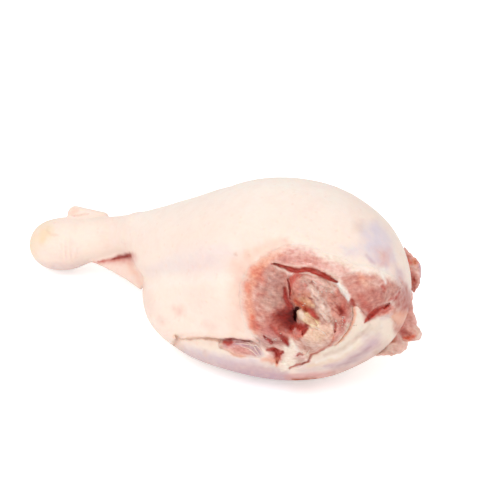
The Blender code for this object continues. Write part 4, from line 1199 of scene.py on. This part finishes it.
def near_blocks(distance, low, counts, step):
    """The blocks of grid points that the surface may pass through, and every block's gap."""
    width = step * BLOCK
    index = np.stack(np.meshgrid(*[np.arange(n) for n in counts], indexing="ij"), -1)
    middles = (np.array(low) + (index + 0.5) * width).astype(np.float32)
    gap = distance(middles)
    return index[np.abs(gap) < width * 1.4 + BLOCK_MARGIN], gap


def biggest_part(count, faces):
    """Which points belong to the largest of the separate parts that the faces make."""
    label = np.arange(count)
    while True:
        lowest = label.copy()
        np.minimum.at(lowest, faces.ravel(), np.repeat(label[faces].min(1), faces.shape[1]))
        lowest = lowest[lowest]
        if (lowest == label).all():
            return label == np.bincount(label).argmax()
        label = lowest


def solid(name, distance, low, high, step):
    """A closed mesh of the space where the distance is below zero."""
    band = BAND * step
    counts = [math.ceil((top - bottom) / (step * BLOCK)) for bottom, top in zip(low, high)]
    blocks, gap = near_blocks(distance, low, counts, step)
    grid = np.where(gap < 0, -band, band).astype(np.float32)
    for axis in range(3):
        grid = np.repeat(grid, BLOCK, axis)
    offsets = np.stack(np.meshgrid(*[np.arange(BLOCK)] * 3, indexing="ij"), -1).reshape(-1, 3)
    for start in range(0, len(blocks), BLOCKS_AT_ONCE):
        index = blocks[start:start + BLOCKS_AT_ONCE, None] * BLOCK + offsets
        index = index.reshape(-1, 3)
        points = (np.array(low) + index * step).astype(np.float32)
        grid[tuple(index.T)] = distance(points)
    volume = openvdb.FloatGrid()
    volume.background = band
    volume.copyFromArray(grid)
    points, triangles, quads = volume.convertToPolygons(isovalue=0.0, adaptivity=0.0)
    keep = biggest_part(len(points), quads.astype(np.int64))
    renumber = np.cumsum(keep) - 1
    faces = renumber[quads[keep[quads[:, 0]]][:, ::-1].astype(np.int64)]
    places = np.clip(to_frame(points[keep] * step + np.array(low)), *NODE_BOX)
    mesh = bpy.data.meshes.new(name)
    mesh.from_pydata(places.tolist(), [], faces.tolist())
    mesh.shade_smooth()
    piece = bpy.data.objects.new(name, mesh)
    bpy.context.scene.collection.objects.link(piece)
    return piece


def places_of(mesh):
    """The points of a mesh, in millimetres."""
    points = np.empty(len(mesh.vertices) * 3, np.float32)
    mesh.vertices.foreach_get("co", points)
    return from_frame(points.reshape(-1, 3))


def add_layer(mesh, name, kind, field, values):
    """Keep a number or a colour for each point of a mesh."""
    layer = mesh.attributes.new(name, kind, "POINT")
    layer.data.foreach_set(field, values.astype(np.float32).ravel())


def finish(piece, material):
    """Give a piece its material and hand it to the frame."""
    piece.data.materials.clear()
    piece.data.materials.append(material)
    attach(piece, "root")
    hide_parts(NODE)


# ---------------------------------------------------------------- where each tone lies


def mark_crumbs(mesh):
    """Say for each point of a mesh how thick the crumbs lie there, in place of its tones."""
    for name in ("tone", "wet"):
        mesh.attributes.remove(mesh.attributes[name])
    p = places_of(mesh)
    u, v, front = chart(p)
    share = np.max([mark(u, v, outline, CRUMB_EDGE) for outline in CRUMBS], axis=0)
    share = share * near_share(near_side(p)) * smooth(0.6 + lumpy(p, *CRUMB_PATCHES))
    add_layer(mesh, "crumbs", "FLOAT", "value", share)


def laid_over(colour, tone, share):
    """A colour for each point with a tone laid over it, by a share for each point."""
    return colour * (1.0 - share) + np.array(tone) * share


def paint(piece, tones, look, base="skin", loose=False):
    """Lay the tones over a piece as a colour for each point, and say where it is wet.

    A loose scrap is wet all over, and is painted on its far side too."""
    p = places_of(piece.data)
    u, v, front = chart(p)
    near = np.ones(len(p)) if loose else near_share(near_side(p))
    u, v = flesh_places(u, v, p)
    strength, size, seed = BLOTCH
    blotch = smooth(0.5 + 0.7 * noise(p, size, seed))[:, None] * strength
    colour = laid_over(np.array(getattr(look, base)), look.blush, blotch)
    mottle = [noise(p, size, seed) for size, seed in MOTTLE]
    for number, (tone, strength, soft, points) in enumerate(tones):
        share = strength * mark(u, v, points, soft) * near
        share = np.clip(share * (1.0 + MOTTLE_SHARE * mottle[number % 2]), 0.0, 1.0)[:, None]
        colour = laid_over(colour, getattr(look, tone), share)
    for depth, stroke in () if loose else GROOVES:
        share = (GROOVE_RED * mark(u, v, stroke, 0.9) * near * (depth < GROOVE_DARK))[:, None]
        colour = laid_over(colour, look.red, share)
    wet = near if loose else np.maximum(mark(u, v, CUT_RIM, 6.0), mark(u, v, SLIT, 2.0)) * near
    # The wrinkles' creases get painted shade and their tops a painted highlight.
    fold = tissue(u, v) * (0.35 + 0.65 * mark(u, v, KNOB, 5.0))
    crease = (wet * CREASE_SHADE * smooth(-1.6 * fold))[:, None]
    colour = colour * (1.0 - crease * (1.0 - np.array(CREASE_TINT)))
    top = (wet * TOP_HIGHLIGHT * smooth(2.2 * fold - 0.2))[:, None]
    colour = colour + (1.0 - colour) * colour * top
    colour = np.hstack((colour, np.ones((len(p), 1))))
    add_layer(piece.data, "tone", "FLOAT_COLOR", "color", colour)
    add_layer(piece.data, "wet", "FLOAT", "value", wet)


# ---------------------------------------------------------------- materials


class Value:
    """A socket of a material's tree that can be used in sums."""

    def __init__(self, tree, socket):
        self.tree = tree
        self.socket = socket

    def math(self, operation, *values, clamp=False):
        inputs = dict(enumerate((self, *values)))
        settings = {"operation": operation, "use_clamp": clamp}
        return self.tree.node("ShaderNodeMath", settings, inputs)

    def __add__(self, other):
        return self.math("ADD", other)

    def __mul__(self, other):
        return self.math("MULTIPLY", other)

    def __sub__(self, other):
        return self.math("SUBTRACT", other)

    def __rsub__(self, other):
        return (self * -1.0) + other

    __radd__ = __add__
    __rmul__ = __mul__

    def clamp(self):
        return self.math("ADD", 0.0, clamp=True)

    def between(self, low, high):
        """Nothing below low, one above high, even between them."""
        return ((self - low) * (1.0 / (high - low))).clamp()


class Tree:
    """A tree of nodes, whose outputs are Values."""

    def __init__(self, tree):
        self.tree = tree
        self.nodes = tree.nodes
        self.links = tree.links

    def set(self, node, inputs):
        for name, value in inputs.items():
            if isinstance(value, Value):
                self.links.new(value.socket, node.inputs[name])
            else:
                node.inputs[name].default_value = value

    def node(self, kind, settings=None, inputs=None, output=0):
        """A node of a kind, with its settings made first, as the Value of one output."""
        made = self.nodes.new(kind)
        for name, value in (settings or {}).items():
            setattr(made, name, value)
        self.set(made, inputs or {})
        return Value(self, made.outputs[output])


class Surface(Tree):
    """The nodes of one material."""

    def __init__(self, name):
        self.material = bpy.data.materials.new(name)
        self.material.use_nodes = True
        super().__init__(self.material.node_tree)
        self.shader = self.nodes["Principled BSDF"]

    def mix(self, factor, first, second, blend="MIX"):
        """The first colour where the factor is nothing and the second where it is one."""
        inputs = {0: factor, 6: first, 7: second}
        return self.node("ShaderNodeMix", {"data_type": "RGBA", "blend_type": blend}, inputs, 2)

    def attribute(self, name, output="Fac"):
        return self.node("ShaderNodeAttribute", {"attribute_name": name}, output=output)

    def noise(self, size, detail=2.0, stretch=(1.0, 1.0, 1.0)):
        """Soft noise between nothing and one, with lumps about size across."""
        where = self.node("ShaderNodeTexCoord", output="Object")
        where = self.node("ShaderNodeMapping", None, {"Vector": where, "Scale": stretch})
        inputs = {"Vector": where, "Scale": 1.0 / size, "Detail": detail}
        return self.node("ShaderNodeTexNoise", None, inputs)

    def pores(self, apart):
        """One in each of many small round dots and nothing off them, about so far apart."""
        where = self.node("ShaderNodeTexCoord", output="Object")
        gap = self.node("ShaderNodeTexVoronoi", None, {"Vector": where, "Scale": 1.0 / apart})
        return 1.0 - gap.between(0.05, 0.24)

    def bump(self, height, distance, strength=1.0):
        inputs = {"Height": height, "Distance": distance, "Strength": strength}
        return self.node("ShaderNodeBump", None, inputs)


class Growth(Tree):
    """The nodes that turn one geometry into another, with a named input for each size."""

    def __init__(self, name, sizes):
        group = bpy.data.node_groups.new(name, "GeometryNodeTree")
        super().__init__(group)
        for label, kind in {"Geometry": "Geometry", **sizes}.items():
            group.interface.new_socket(label, in_out="INPUT", socket_type="NodeSocket" + kind)
        group.interface.new_socket("Geometry", in_out="OUTPUT", socket_type="NodeSocketGeometry")
        self.entry = self.nodes.new("NodeGroupInput")
        self.exit = self.nodes.new("NodeGroupOutput")

    def given(self, label):
        return Value(self, self.entry.outputs[label])

    def give(self, geometry, material):
        """Make the copies real, with their material, as what comes out."""
        geometry = self.node("GeometryNodeRealizeInstances", None, {"Geometry": geometry})
        geometry = self.node("GeometryNodeSetShadeSmooth", None, {"Geometry": geometry})
        inputs = {"Geometry": geometry, "Material": material}
        self.set(self.exit, {"Geometry": self.node("GeometryNodeSetMaterial", None, inputs)})


def rgba(colour):
    return (*colour, 1.0)


def flesh_material(name, look, dampness):
    """Skin, muscle and fat: the painted tones with fine mottling, pores where there is
    whole skin, and damp where it is cut."""
    tree = Surface(name)
    pores = tree.pores(0.0042)
    soft = tree.noise(0.006, 3.0)
    fine = tree.noise(0.0018, 4.0)
    grain = tree.noise(0.0007, 3.0)
    fibre = tree.noise(0.0016, 3.0, (0.5, 1.0, 2.0))
    wet = tree.attribute("wet")
    lit = tree.attribute("tone").between(0.04, 0.3)
    colour = tree.attribute("tone", "Color")
    colour = tree.mix(wet * 0.34 + 0.05, colour, fine.between(0.25, 0.75), "SOFT_LIGHT")
    colour = tree.mix(wet * 0.26 + 0.03, colour, fibre.between(0.25, 0.75), "SOFT_LIGHT")
    colour = tree.mix(soft.between(0.5, 0.8) * 0.12, colour, rgba(look.blush), "MULTIPLY")
    pores = pores * (1.0 - wet)
    colour = tree.mix(pores * 0.22, colour, rgba(look.peach))
    height = pores * 0.5 + soft * 0.8 + fine * (wet * 0.7 + 0.25) + grain * 0.3 + fibre * wet * 0.6
    tree.set(tree.shader, {
        "Base Color": colour,
        "Roughness": 0.5 - wet * lit * 0.14 + (fine - 0.5) * 0.2,
        "Coat Weight": wet * lit * dampness,
        "Coat Roughness": 0.14,
        "Specular IOR Level": 0.18,
        "Normal": tree.bump(height, 0.0003, 0.6),
        "Subsurface Weight": 0.25,
        "Subsurface Radius": (0.9, 0.35, 0.2),
        "Subsurface Scale": 0.003,
    })
    return tree.material


def bone_material(look):
    """Bone: creamy at the end and yellow down the shaft, with a fine porous grain."""
    tree = Surface("bone")
    blotch = tree.noise(0.004, 3.0)
    grain = tree.noise(0.0008, 3.0)
    colour = tree.attribute("tone", "Color")
    colour = tree.mix(blotch.between(0.45, 0.7) * 0.6, colour, rgba(look.rust))
    colour = tree.mix(grain.between(0.5, 0.8) * 0.3, colour, rgba(look.milk))
    tree.set(tree.shader, {
        "Base Color": colour,
        "Roughness": 0.42 + (grain - 0.5) * 0.2,
        "Normal": tree.bump(blotch * 0.6 + grain * 0.5, 0.0003, 0.7),
        "Coat Weight": 0.2,
        "Coat Roughness": 0.2,
        "Subsurface Weight": 0.2,
        "Subsurface Radius": (0.8, 0.5, 0.3),
        "Subsurface Scale": 0.002,
    })
    return tree.material


# ---------------------------------------------------------------- crumbs and threads


def crumbs_growth(material):
    """Small flat beads scattered over a surface, as thick as its crumbs attribute says."""
    tree = Growth("fat_crumbs", {
        "Density": "Float", "Smallest": "Vector", "Largest": "Vector", "Seed": "Int",
    })
    share = tree.node("GeometryNodeInputNamedAttribute", {"data_type": "FLOAT"}, {"Name": "crumbs"})
    spread = tree.node("GeometryNodeDistributePointsOnFaces", {"distribute_method": "RANDOM"}, {
        "Mesh": tree.given("Geometry"),
        "Density": share * tree.given("Density"),
        "Seed": tree.given("Seed"),
    })
    turn = Value(tree, spread.socket.node.outputs["Rotation"])
    size = tree.node("FunctionNodeRandomValue", {"data_type": "FLOAT_VECTOR"}, {
        0: tree.given("Smallest"), 1: tree.given("Largest"), "Seed": tree.given("Seed"),
    })
    bead = tree.node("GeometryNodeMeshIcoSphere", None, {"Radius": 1.0, "Subdivisions": 1})
    placed = tree.node("GeometryNodeInstanceOnPoints", None, {
        "Points": spread, "Instance": bead, "Rotation": turn, "Scale": size,
    })
    tree.give(placed, material)
    return tree.tree


def threads_growth(material):
    """Thin threads along lines, thickest in the middle of each."""
    tree = Growth("tissue_threads", {"Radius": "Float", "Steps": "Int", "Sides": "Int"})
    line = tree.node("GeometryNodeMeshToCurve", None, {"Mesh": tree.given("Geometry")})
    line = tree.node("GeometryNodeCurveSplineType", {"spline_type": "CATMULL_ROM"}, {"Curve": line})
    count = {"Curve": line, "Count": tree.given("Steps")}
    line = tree.node("GeometryNodeResampleCurve", None, count)
    along = tree.node("GeometryNodeSplineParameter")
    thickness = (along * (1.0 - along) * 3.6 + 0.25) * tree.given("Radius")
    ring = {"Radius": 1.0, "Resolution": tree.given("Sides")}
    ring = tree.node("GeometryNodeCurvePrimitiveCircle", None, ring)
    threads = tree.node("GeometryNodeCurveToMesh", None, {
        "Curve": line, "Profile Curve": ring, "Scale": thickness, "Fill Caps": True,
    })
    tree.give(threads, material)
    return tree.tree


def grown(name, mesh, growth, sizes):
    """A piece made from a mesh by a tree of geometry nodes, as a plain mesh."""
    piece = bpy.data.objects.new(name, mesh)
    bpy.context.scene.collection.objects.link(piece)
    modifier = piece.modifiers.new("growth", "NODES")
    modifier.node_group = growth
    for item in growth.interface.items_tree:
        if item.in_out == "INPUT" and item.name in sizes:
            modifier[item.identifier] = sizes[item.name]
    evaluated = piece.evaluated_get(bpy.context.evaluated_depsgraph_get())
    result = bpy.data.meshes.new_from_object(evaluated)
    piece.modifiers.remove(modifier)
    piece.data = result
    result.name = name
    return piece


def over_surface(u, v):
    """The place straight behind a place on the chart, a little above the leg's surface."""
    across, up, out = chart_axes()
    front = np.arange(RAY_START, -RAY_START, -RAY_STEP)[:, None]
    aside, above = CAMERA_ASIDE
    grow = CHART_REACH / (CHART_REACH - front)
    ahead = np.array(CHART_MIDDLE) + ((u - aside) / grow + aside) * across
    ray = ahead + ((v - above) / grow + above) * up + front * out
    surface = outer_surface(ray.astype(np.float32))[0]
    level = cut_level(surface, np.full(len(ray), u), np.full(len(ray), v), ray)
    knob_edge = outline_gap(np.array([u]), np.array([v]), KNOB)[0]
    lift = KNOB_STRAND_LIFT if knob_edge < 0 else STRAND_LIFT
    return ray[np.argmax(level < knob_rise(knob_edge) + lift)]


# ---------------------------------------------------------------- what a user can change


def colour_property(name, description, default):
    return bpy.props.FloatVectorProperty(
        name=name, description=description, subtype="COLOR", size=3, min=0, max=1, default=default
    )


def size_property(name, description, default):
    return bpy.props.FloatVectorProperty(
        name=name, description=description, subtype="XYZ_LENGTH", unit="LENGTH", size=3, min=0,
        precision=5, default=[MM * size for size in default]
    )


class GooseLegColours(bpy.types.PropertyGroup):
    skin: colour_property("Skin", "Pale skin", srgb(255, 235, 221))
    blush: colour_property("Blush", "Skin where it is a little pinker", srgb(252, 224, 211))
    # The palest tone also lays painted light on the top of the leg and a painted highlight on
    # fibres of the cut.
    white: colour_property("White", "The palest skin and clean sinew", srgb(255, 246, 237))
    straw: colour_property("Straw", "Yellowish skin and bone", srgb(246, 214, 164))
    peach: colour_property("Peach", "Skin near the cut and the web", srgb(250, 206, 186))
    apricot: colour_property("Apricot", "The soft orange rim of the cut", srgb(240, 164, 132))
    coral: colour_property("Coral", "Bright orange-pink meat", srgb(232, 114, 84))
    rose: colour_property("Rose", "Pale raw meat", srgb(228, 162, 150))
    muscle: colour_property("Muscle", "Raw meat", srgb(212, 138, 122))
    fawn: colour_property("Fawn", "The knob's own meat", srgb(206, 148, 131))
    brick: colour_property("Brick", "Deeper raw meat", srgb(190, 92, 78))
    red: colour_property("Red", "Fresh red in the cracks", srgb(192, 62, 48))
    wine: colour_property("Wine", "Dark red in the cracks", srgb(146, 38, 32))
    blood: colour_property("Blood", "Dark blood", srgb(142, 32, 22))
    # The darkest tone also lays painted shade in the deep hole beside the bone.
    pitch: colour_property("Pitch", "The darkest blood", srgb(74, 8, 6))
    rust: colour_property("Rust", "Brown-orange round the bone", srgb(178, 88, 46))
    tan: colour_property("Tan", "Dull edges and dry skin", srgb(222, 178, 158))
    cream: colour_property("Cream", "Fat", srgb(247, 229, 212))
    # The pale fat tone also lays painted highlights on the knob's top and on the rag.
    milk: colour_property("Milk", "Pale pinkish fat and film", srgb(240, 208, 192))
    # The greyish tone also lays painted shade over the underside and round the bone's end.
    grey: colour_property("Grey", "Greyish film over meat", srgb(212, 180, 164))
    # Painted shade, laid over meat, fat and bone where shade falls.
    painted_shade: colour_property("Dusk", "Meat in the shade of a fold", srgb(140, 74, 66))
    slate: colour_property("Slate", "Grey hollows", srgb(150, 86, 76))
    plum: colour_property("Plum", "Purplish meat in the slit", srgb(206, 142, 142))
    # The purplish tone also lays painted shade under the shank and the leg, along the dip and at
    # the rag's edge.
    mauve: colour_property("Mauve", "Purplish film and bruises", srgb(210, 174, 186))
    # The bluish tone also lays painted shade over the underside and along the dip.
    vein_and_shade: colour_property("Vein", "Bluish skin over a vein", srgb(228, 214, 223))


class GooseLegDetail(bpy.types.PropertyGroup):
    crumbs: bpy.props.FloatProperty(
        name="Crumbs", description="Crumbs on a square centimetre where they lie thickest",
        default=70.0, min=0
    )
    smallest: size_property("Smallest", "Half sizes of the smallest crumb", (0.12, 0.12, 0.08))
    largest: size_property("Largest", "Half sizes of the largest crumb", (0.6, 0.4, 0.26))
    thread: bpy.props.FloatProperty(
        name="Thread", description="Radius of a thread of tissue", default=0.2 * MM, min=0,
        precision=5, unit="LENGTH"
    )


class GooseLegLight(bpy.types.PropertyGroup):
    key: bpy.props.FloatProperty(
        name="Overhead light", description="Power of the soft light above", default=5.0, min=0,
        unit="POWER"
    )
    glint: bpy.props.FloatProperty(
        name="Glint", description="Power of the small light that shines back from what is wet",
        default=3.0, min=0, unit="POWER"
    )
    sky: bpy.props.FloatProperty(
        name="Surround", description="Brightness of the white room", default=0.87, min=0
    )
    lens: bpy.props.FloatProperty(
        name="Lens", description="Focal length of the camera", default=120.0, min=1, unit="CAMERA"
    )


# ---------------------------------------------------------------- pieces


class GOOSE_OT_skin(bpy.types.Operator):
    """Make the skin of the whole leg, open at the cut"""

    bl_idname = "goose.skin"
    bl_label = "Skin"

    def execute(self, context):
        look = context.scene.goose_leg_colours
        piece = solid("skin", skin_distance, *SKIN_GRID)
        paint(piece, TONES, look)
        finish(piece, flesh_material("goose_skin", look, 0.1))
        return {"FINISHED"}


class GOOSE_OT_muscle(bpy.types.Operator):
    """Make the cut muscle, the knob of meat round the bone and the meat in the slit"""

    bl_idname = "goose.muscle"
    bl_label = "Cut muscle"

    def execute(self, context):
        look = context.scene.goose_leg_colours
        material = flesh_material("cut_muscle", look, 0.3)
        for name, distance, grid in (
            ("cut_muscle", muscle_distance, MUSCLE_GRID),
            ("knob", knob_distance, KNOB_GRID),
            ("slit_meat", slit_distance, SLIT_GRID),
        ):
            piece = solid(name, distance, *grid)
            paint(piece, TONES, look)
            finish(piece, material)
        return {"FINISHED"}


class GOOSE_OT_fat(bpy.types.Operator):
    """Make the fat beside the knob and the band below it"""

    bl_idname = "goose.fat"
    bl_label = "Fat"

    def execute(self, context):
        look = context.scene.goose_leg_colours
        piece = solid("fat", fat_distance, *FAT_GRID)
        paint(piece, TONES, look)
        finish(piece, flesh_material("soft_fat", look, 0.1))
        return {"FINISHED"}


class GOOSE_OT_bone(bpy.types.Operator):
    """Make the cut end of the bone"""

    bl_idname = "goose.bone"
    bl_label = "Bone end"

    def execute(self, context):
        look = context.scene.goose_leg_colours
        piece = solid("bone_end", bone_distance, *BONE_GRID)
        paint(piece, BONE_TONES, look, "straw")
        finish(piece, bone_material(look))
        return {"FINISHED"}


class GOOSE_OT_crumbs(bpy.types.Operator):
    """Scatter crumbs of fat over the open flesh and stretch threads of tissue across it"""

    bl_idname = "goose.crumbs"
    bl_label = "Crumbs and threads"

    def execute(self, context):
        look = context.scene.goose_leg_colours
        detail = context.scene.goose_leg_detail
        material = flesh_material("soft_crumbs", look, 0.3)
        growth = crumbs_growth(material)
        sizes = {
            "Density": detail.crumbs / CM ** 2, "Seed": 3,
            "Smallest": list(detail.smallest), "Largest": list(detail.largest),
        }
        for name in ("knob", "cut_muscle", "fat"):
            mesh = bpy.data.objects[name].data.copy()
            mark_crumbs(mesh)
            piece = grown("crumbs_on_" + name, mesh, growth, sizes)
            paint(piece, (), look, "grey")
            finish(piece, material)
        places, edges = [], []
        for strand in STRANDS:
            edges += [(len(places) + n, len(places) + n + 1) for n in range(len(strand) - 1)]
            places += [over_surface(u, v) for u, v in strand]
        lines = bpy.data.meshes.new("lines")
        lines.from_pydata(to_frame(np.array(places)).tolist(), edges, [])
        sizes = {"Radius": detail.thread, "Steps": 24, "Sides": 6}
        piece = grown("threads", lines, threads_growth(material), sizes)
        paint(piece, (), look, "milk")
        finish(piece, material)
        return {"FINISHED"}


class GOOSE_OT_scraps(bpy.types.Operator):
    """Make the torn scraps at the edge of the cut"""

    bl_idname = "goose.scraps"
    bl_label = "Scraps"

    def execute(self, context):
        look = context.scene.goose_leg_colours
        material = flesh_material("torn_skin", look, 0.3)
        for name, distance, tones in (
            ("rag", scrap_distance(*RAG, 101), RAG_TONES),
            ("flap_front", scrap_distance(*FLAP_FRONT, 111), FLAP_TONES),
            ("flap_side", scrap_distance(*FLAP_SIDE, 121, FLAP_HOLLOW), FLAP_TONES),
        ):
            piece = solid(name, distance, *SCRAP_GRID)
            paint(piece, tones, look, "rose", loose=True)
            finish(piece, material)
        return {"FINISHED"}


class GOOSE_OT_stage(bpy.types.Operator):
    """Make the pale floor, the soft lights and the camera"""

    bl_idname = "goose.stage"
    bl_label = "Stage"

    def execute(self, context):
        scene = context.scene
        light = scene.goose_leg_light
        scene.view_settings.view_transform = "Standard"
        make_floor(scene)
        make_room(scene, light.sky)
        make_light(scene, "overhead", *OVERHEAD, light.key)
        make_light(scene, "side", *SIDE, light.key * SIDE_SHARE)
        make_light(scene, "glint", *GLINT, light.glint).visible_diffuse = False
        make_camera(scene, light.lens)
        return {"FINISHED"}


def make_floor(scene):
    """A white floor that glows a little to the camera alone, so that the shadow is light."""
    corners = [(-1, -1), (1, -1), (1, 1), (-1, 1)]
    places = [(x * FLOOR_REACH, y * FLOOR_REACH, -FLOOR_DROP) for x, y in corners]
    mesh = bpy.data.meshes.new("floor")
    mesh.from_pydata(places, [], [(0, 1, 2, 3)])
    floor = bpy.data.objects.new("floor", mesh)
    scene.collection.objects.link(floor)
    tree = Surface("pale_floor")
    seen = tree.node("ShaderNodeLightPath", output="Is Camera Ray")
    tree.set(tree.shader, {
        "Base Color": rgba(WHITE),
        "Roughness": 0.8,
        "Emission Color": tree.mix(seen, rgba(BLACK), rgba(WHITE)),
        "Emission Strength": SHADOW_LIGHT,
    })
    mesh.materials.append(tree.material)
    floor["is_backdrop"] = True


def make_room(scene, brightness):
    """A plain white surround that lights the leg from all sides."""
    world = bpy.data.worlds.new("white_room")
    world.use_nodes = True
    background = world.node_tree.nodes["Background"]
    background.inputs["Color"].default_value = rgba(WHITE)
    background.inputs["Strength"].default_value = brightness
    scene.world = world


def make_light(scene, name, place, size, power):
    """A square soft light that looks at the middle of the leg."""
    data = bpy.data.lights.new(name, "AREA")
    data.size = size
    data.energy = power
    lamp = bpy.data.objects.new(name, data)
    lamp.location = place
    look = Vector(LIT_POINT) - Vector(place)
    lamp.rotation_euler = look.to_track_quat("-Z", "Y").to_euler()
    scene.collection.objects.link(lamp)
    return lamp


def make_camera(scene, lens):
    """The camera stands at the point that the chart is seen from."""
    across, up, out = chart_axes()
    aim = np.array(CHART_MIDDLE) + CAMERA_ASIDE[0] * across + CAMERA_ASIDE[1] * up
    data = bpy.data.cameras.new("camera")
    data.lens = lens
    data.sensor_width = SENSOR
    camera = bpy.data.objects.new("camera", data)
    turn = Matrix((across, up, out)).transposed().to_4x4()
    camera.matrix_world = Matrix.Translation(Vector(to_frame(aim + CHART_REACH * out))) @ turn
    scene.collection.objects.link(camera)
    scene.camera = camera


class GOOSE_PT_panel(bpy.types.Panel):
    """Lists the pieces of the goose leg"""

    bl_label = "Goose leg"
    bl_idname = "GOOSE_PT_panel"
    bl_space_type = "VIEW_3D"
    bl_region_type = "UI"
    bl_category = "Goose leg"

    def draw(self, context):
        for operator in OPERATORS:
            self.layout.operator(operator.bl_idname)
        for name, kind in GROUPS:
            for field in kind.__annotations__:
                self.layout.prop(getattr(context.scene, name), field)


OPERATORS = (
    GOOSE_OT_skin, GOOSE_OT_muscle, GOOSE_OT_fat, GOOSE_OT_bone, GOOSE_OT_crumbs,
    GOOSE_OT_scraps, GOOSE_OT_stage,
)
GROUPS = (
    ("goose_leg_colours", GooseLegColours),
    ("goose_leg_detail", GooseLegDetail),
    ("goose_leg_light", GooseLegLight),
)


def register():
    for name, group in GROUPS:
        bpy.utils.register_class(group)
        setattr(bpy.types.Scene, name, bpy.props.PointerProperty(type=group))
    for kind in (*OPERATORS, GOOSE_PT_panel):
        bpy.utils.register_class(kind)


def unregister():
    for kind in (GOOSE_PT_panel, *reversed(OPERATORS)):
        bpy.utils.unregister_class(kind)
    for name, group in reversed(GROUPS):
        delattr(bpy.types.Scene, name)
        bpy.utils.unregister_class(group)


def main():
    register()
    bpy.ops.goose.skin()
    bpy.ops.goose.muscle()
    bpy.ops.goose.fat()
    bpy.ops.goose.bone()
    bpy.ops.goose.crumbs()
    bpy.ops.goose.scraps()
    bpy.ops.goose.stage()
    boxes = {"cad": CAD_BOX, "visual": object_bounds()}
    plain = {name: [list(corner) for corner in box] for name, box in boxes.items()}


if __name__ == "__main__":
    main()
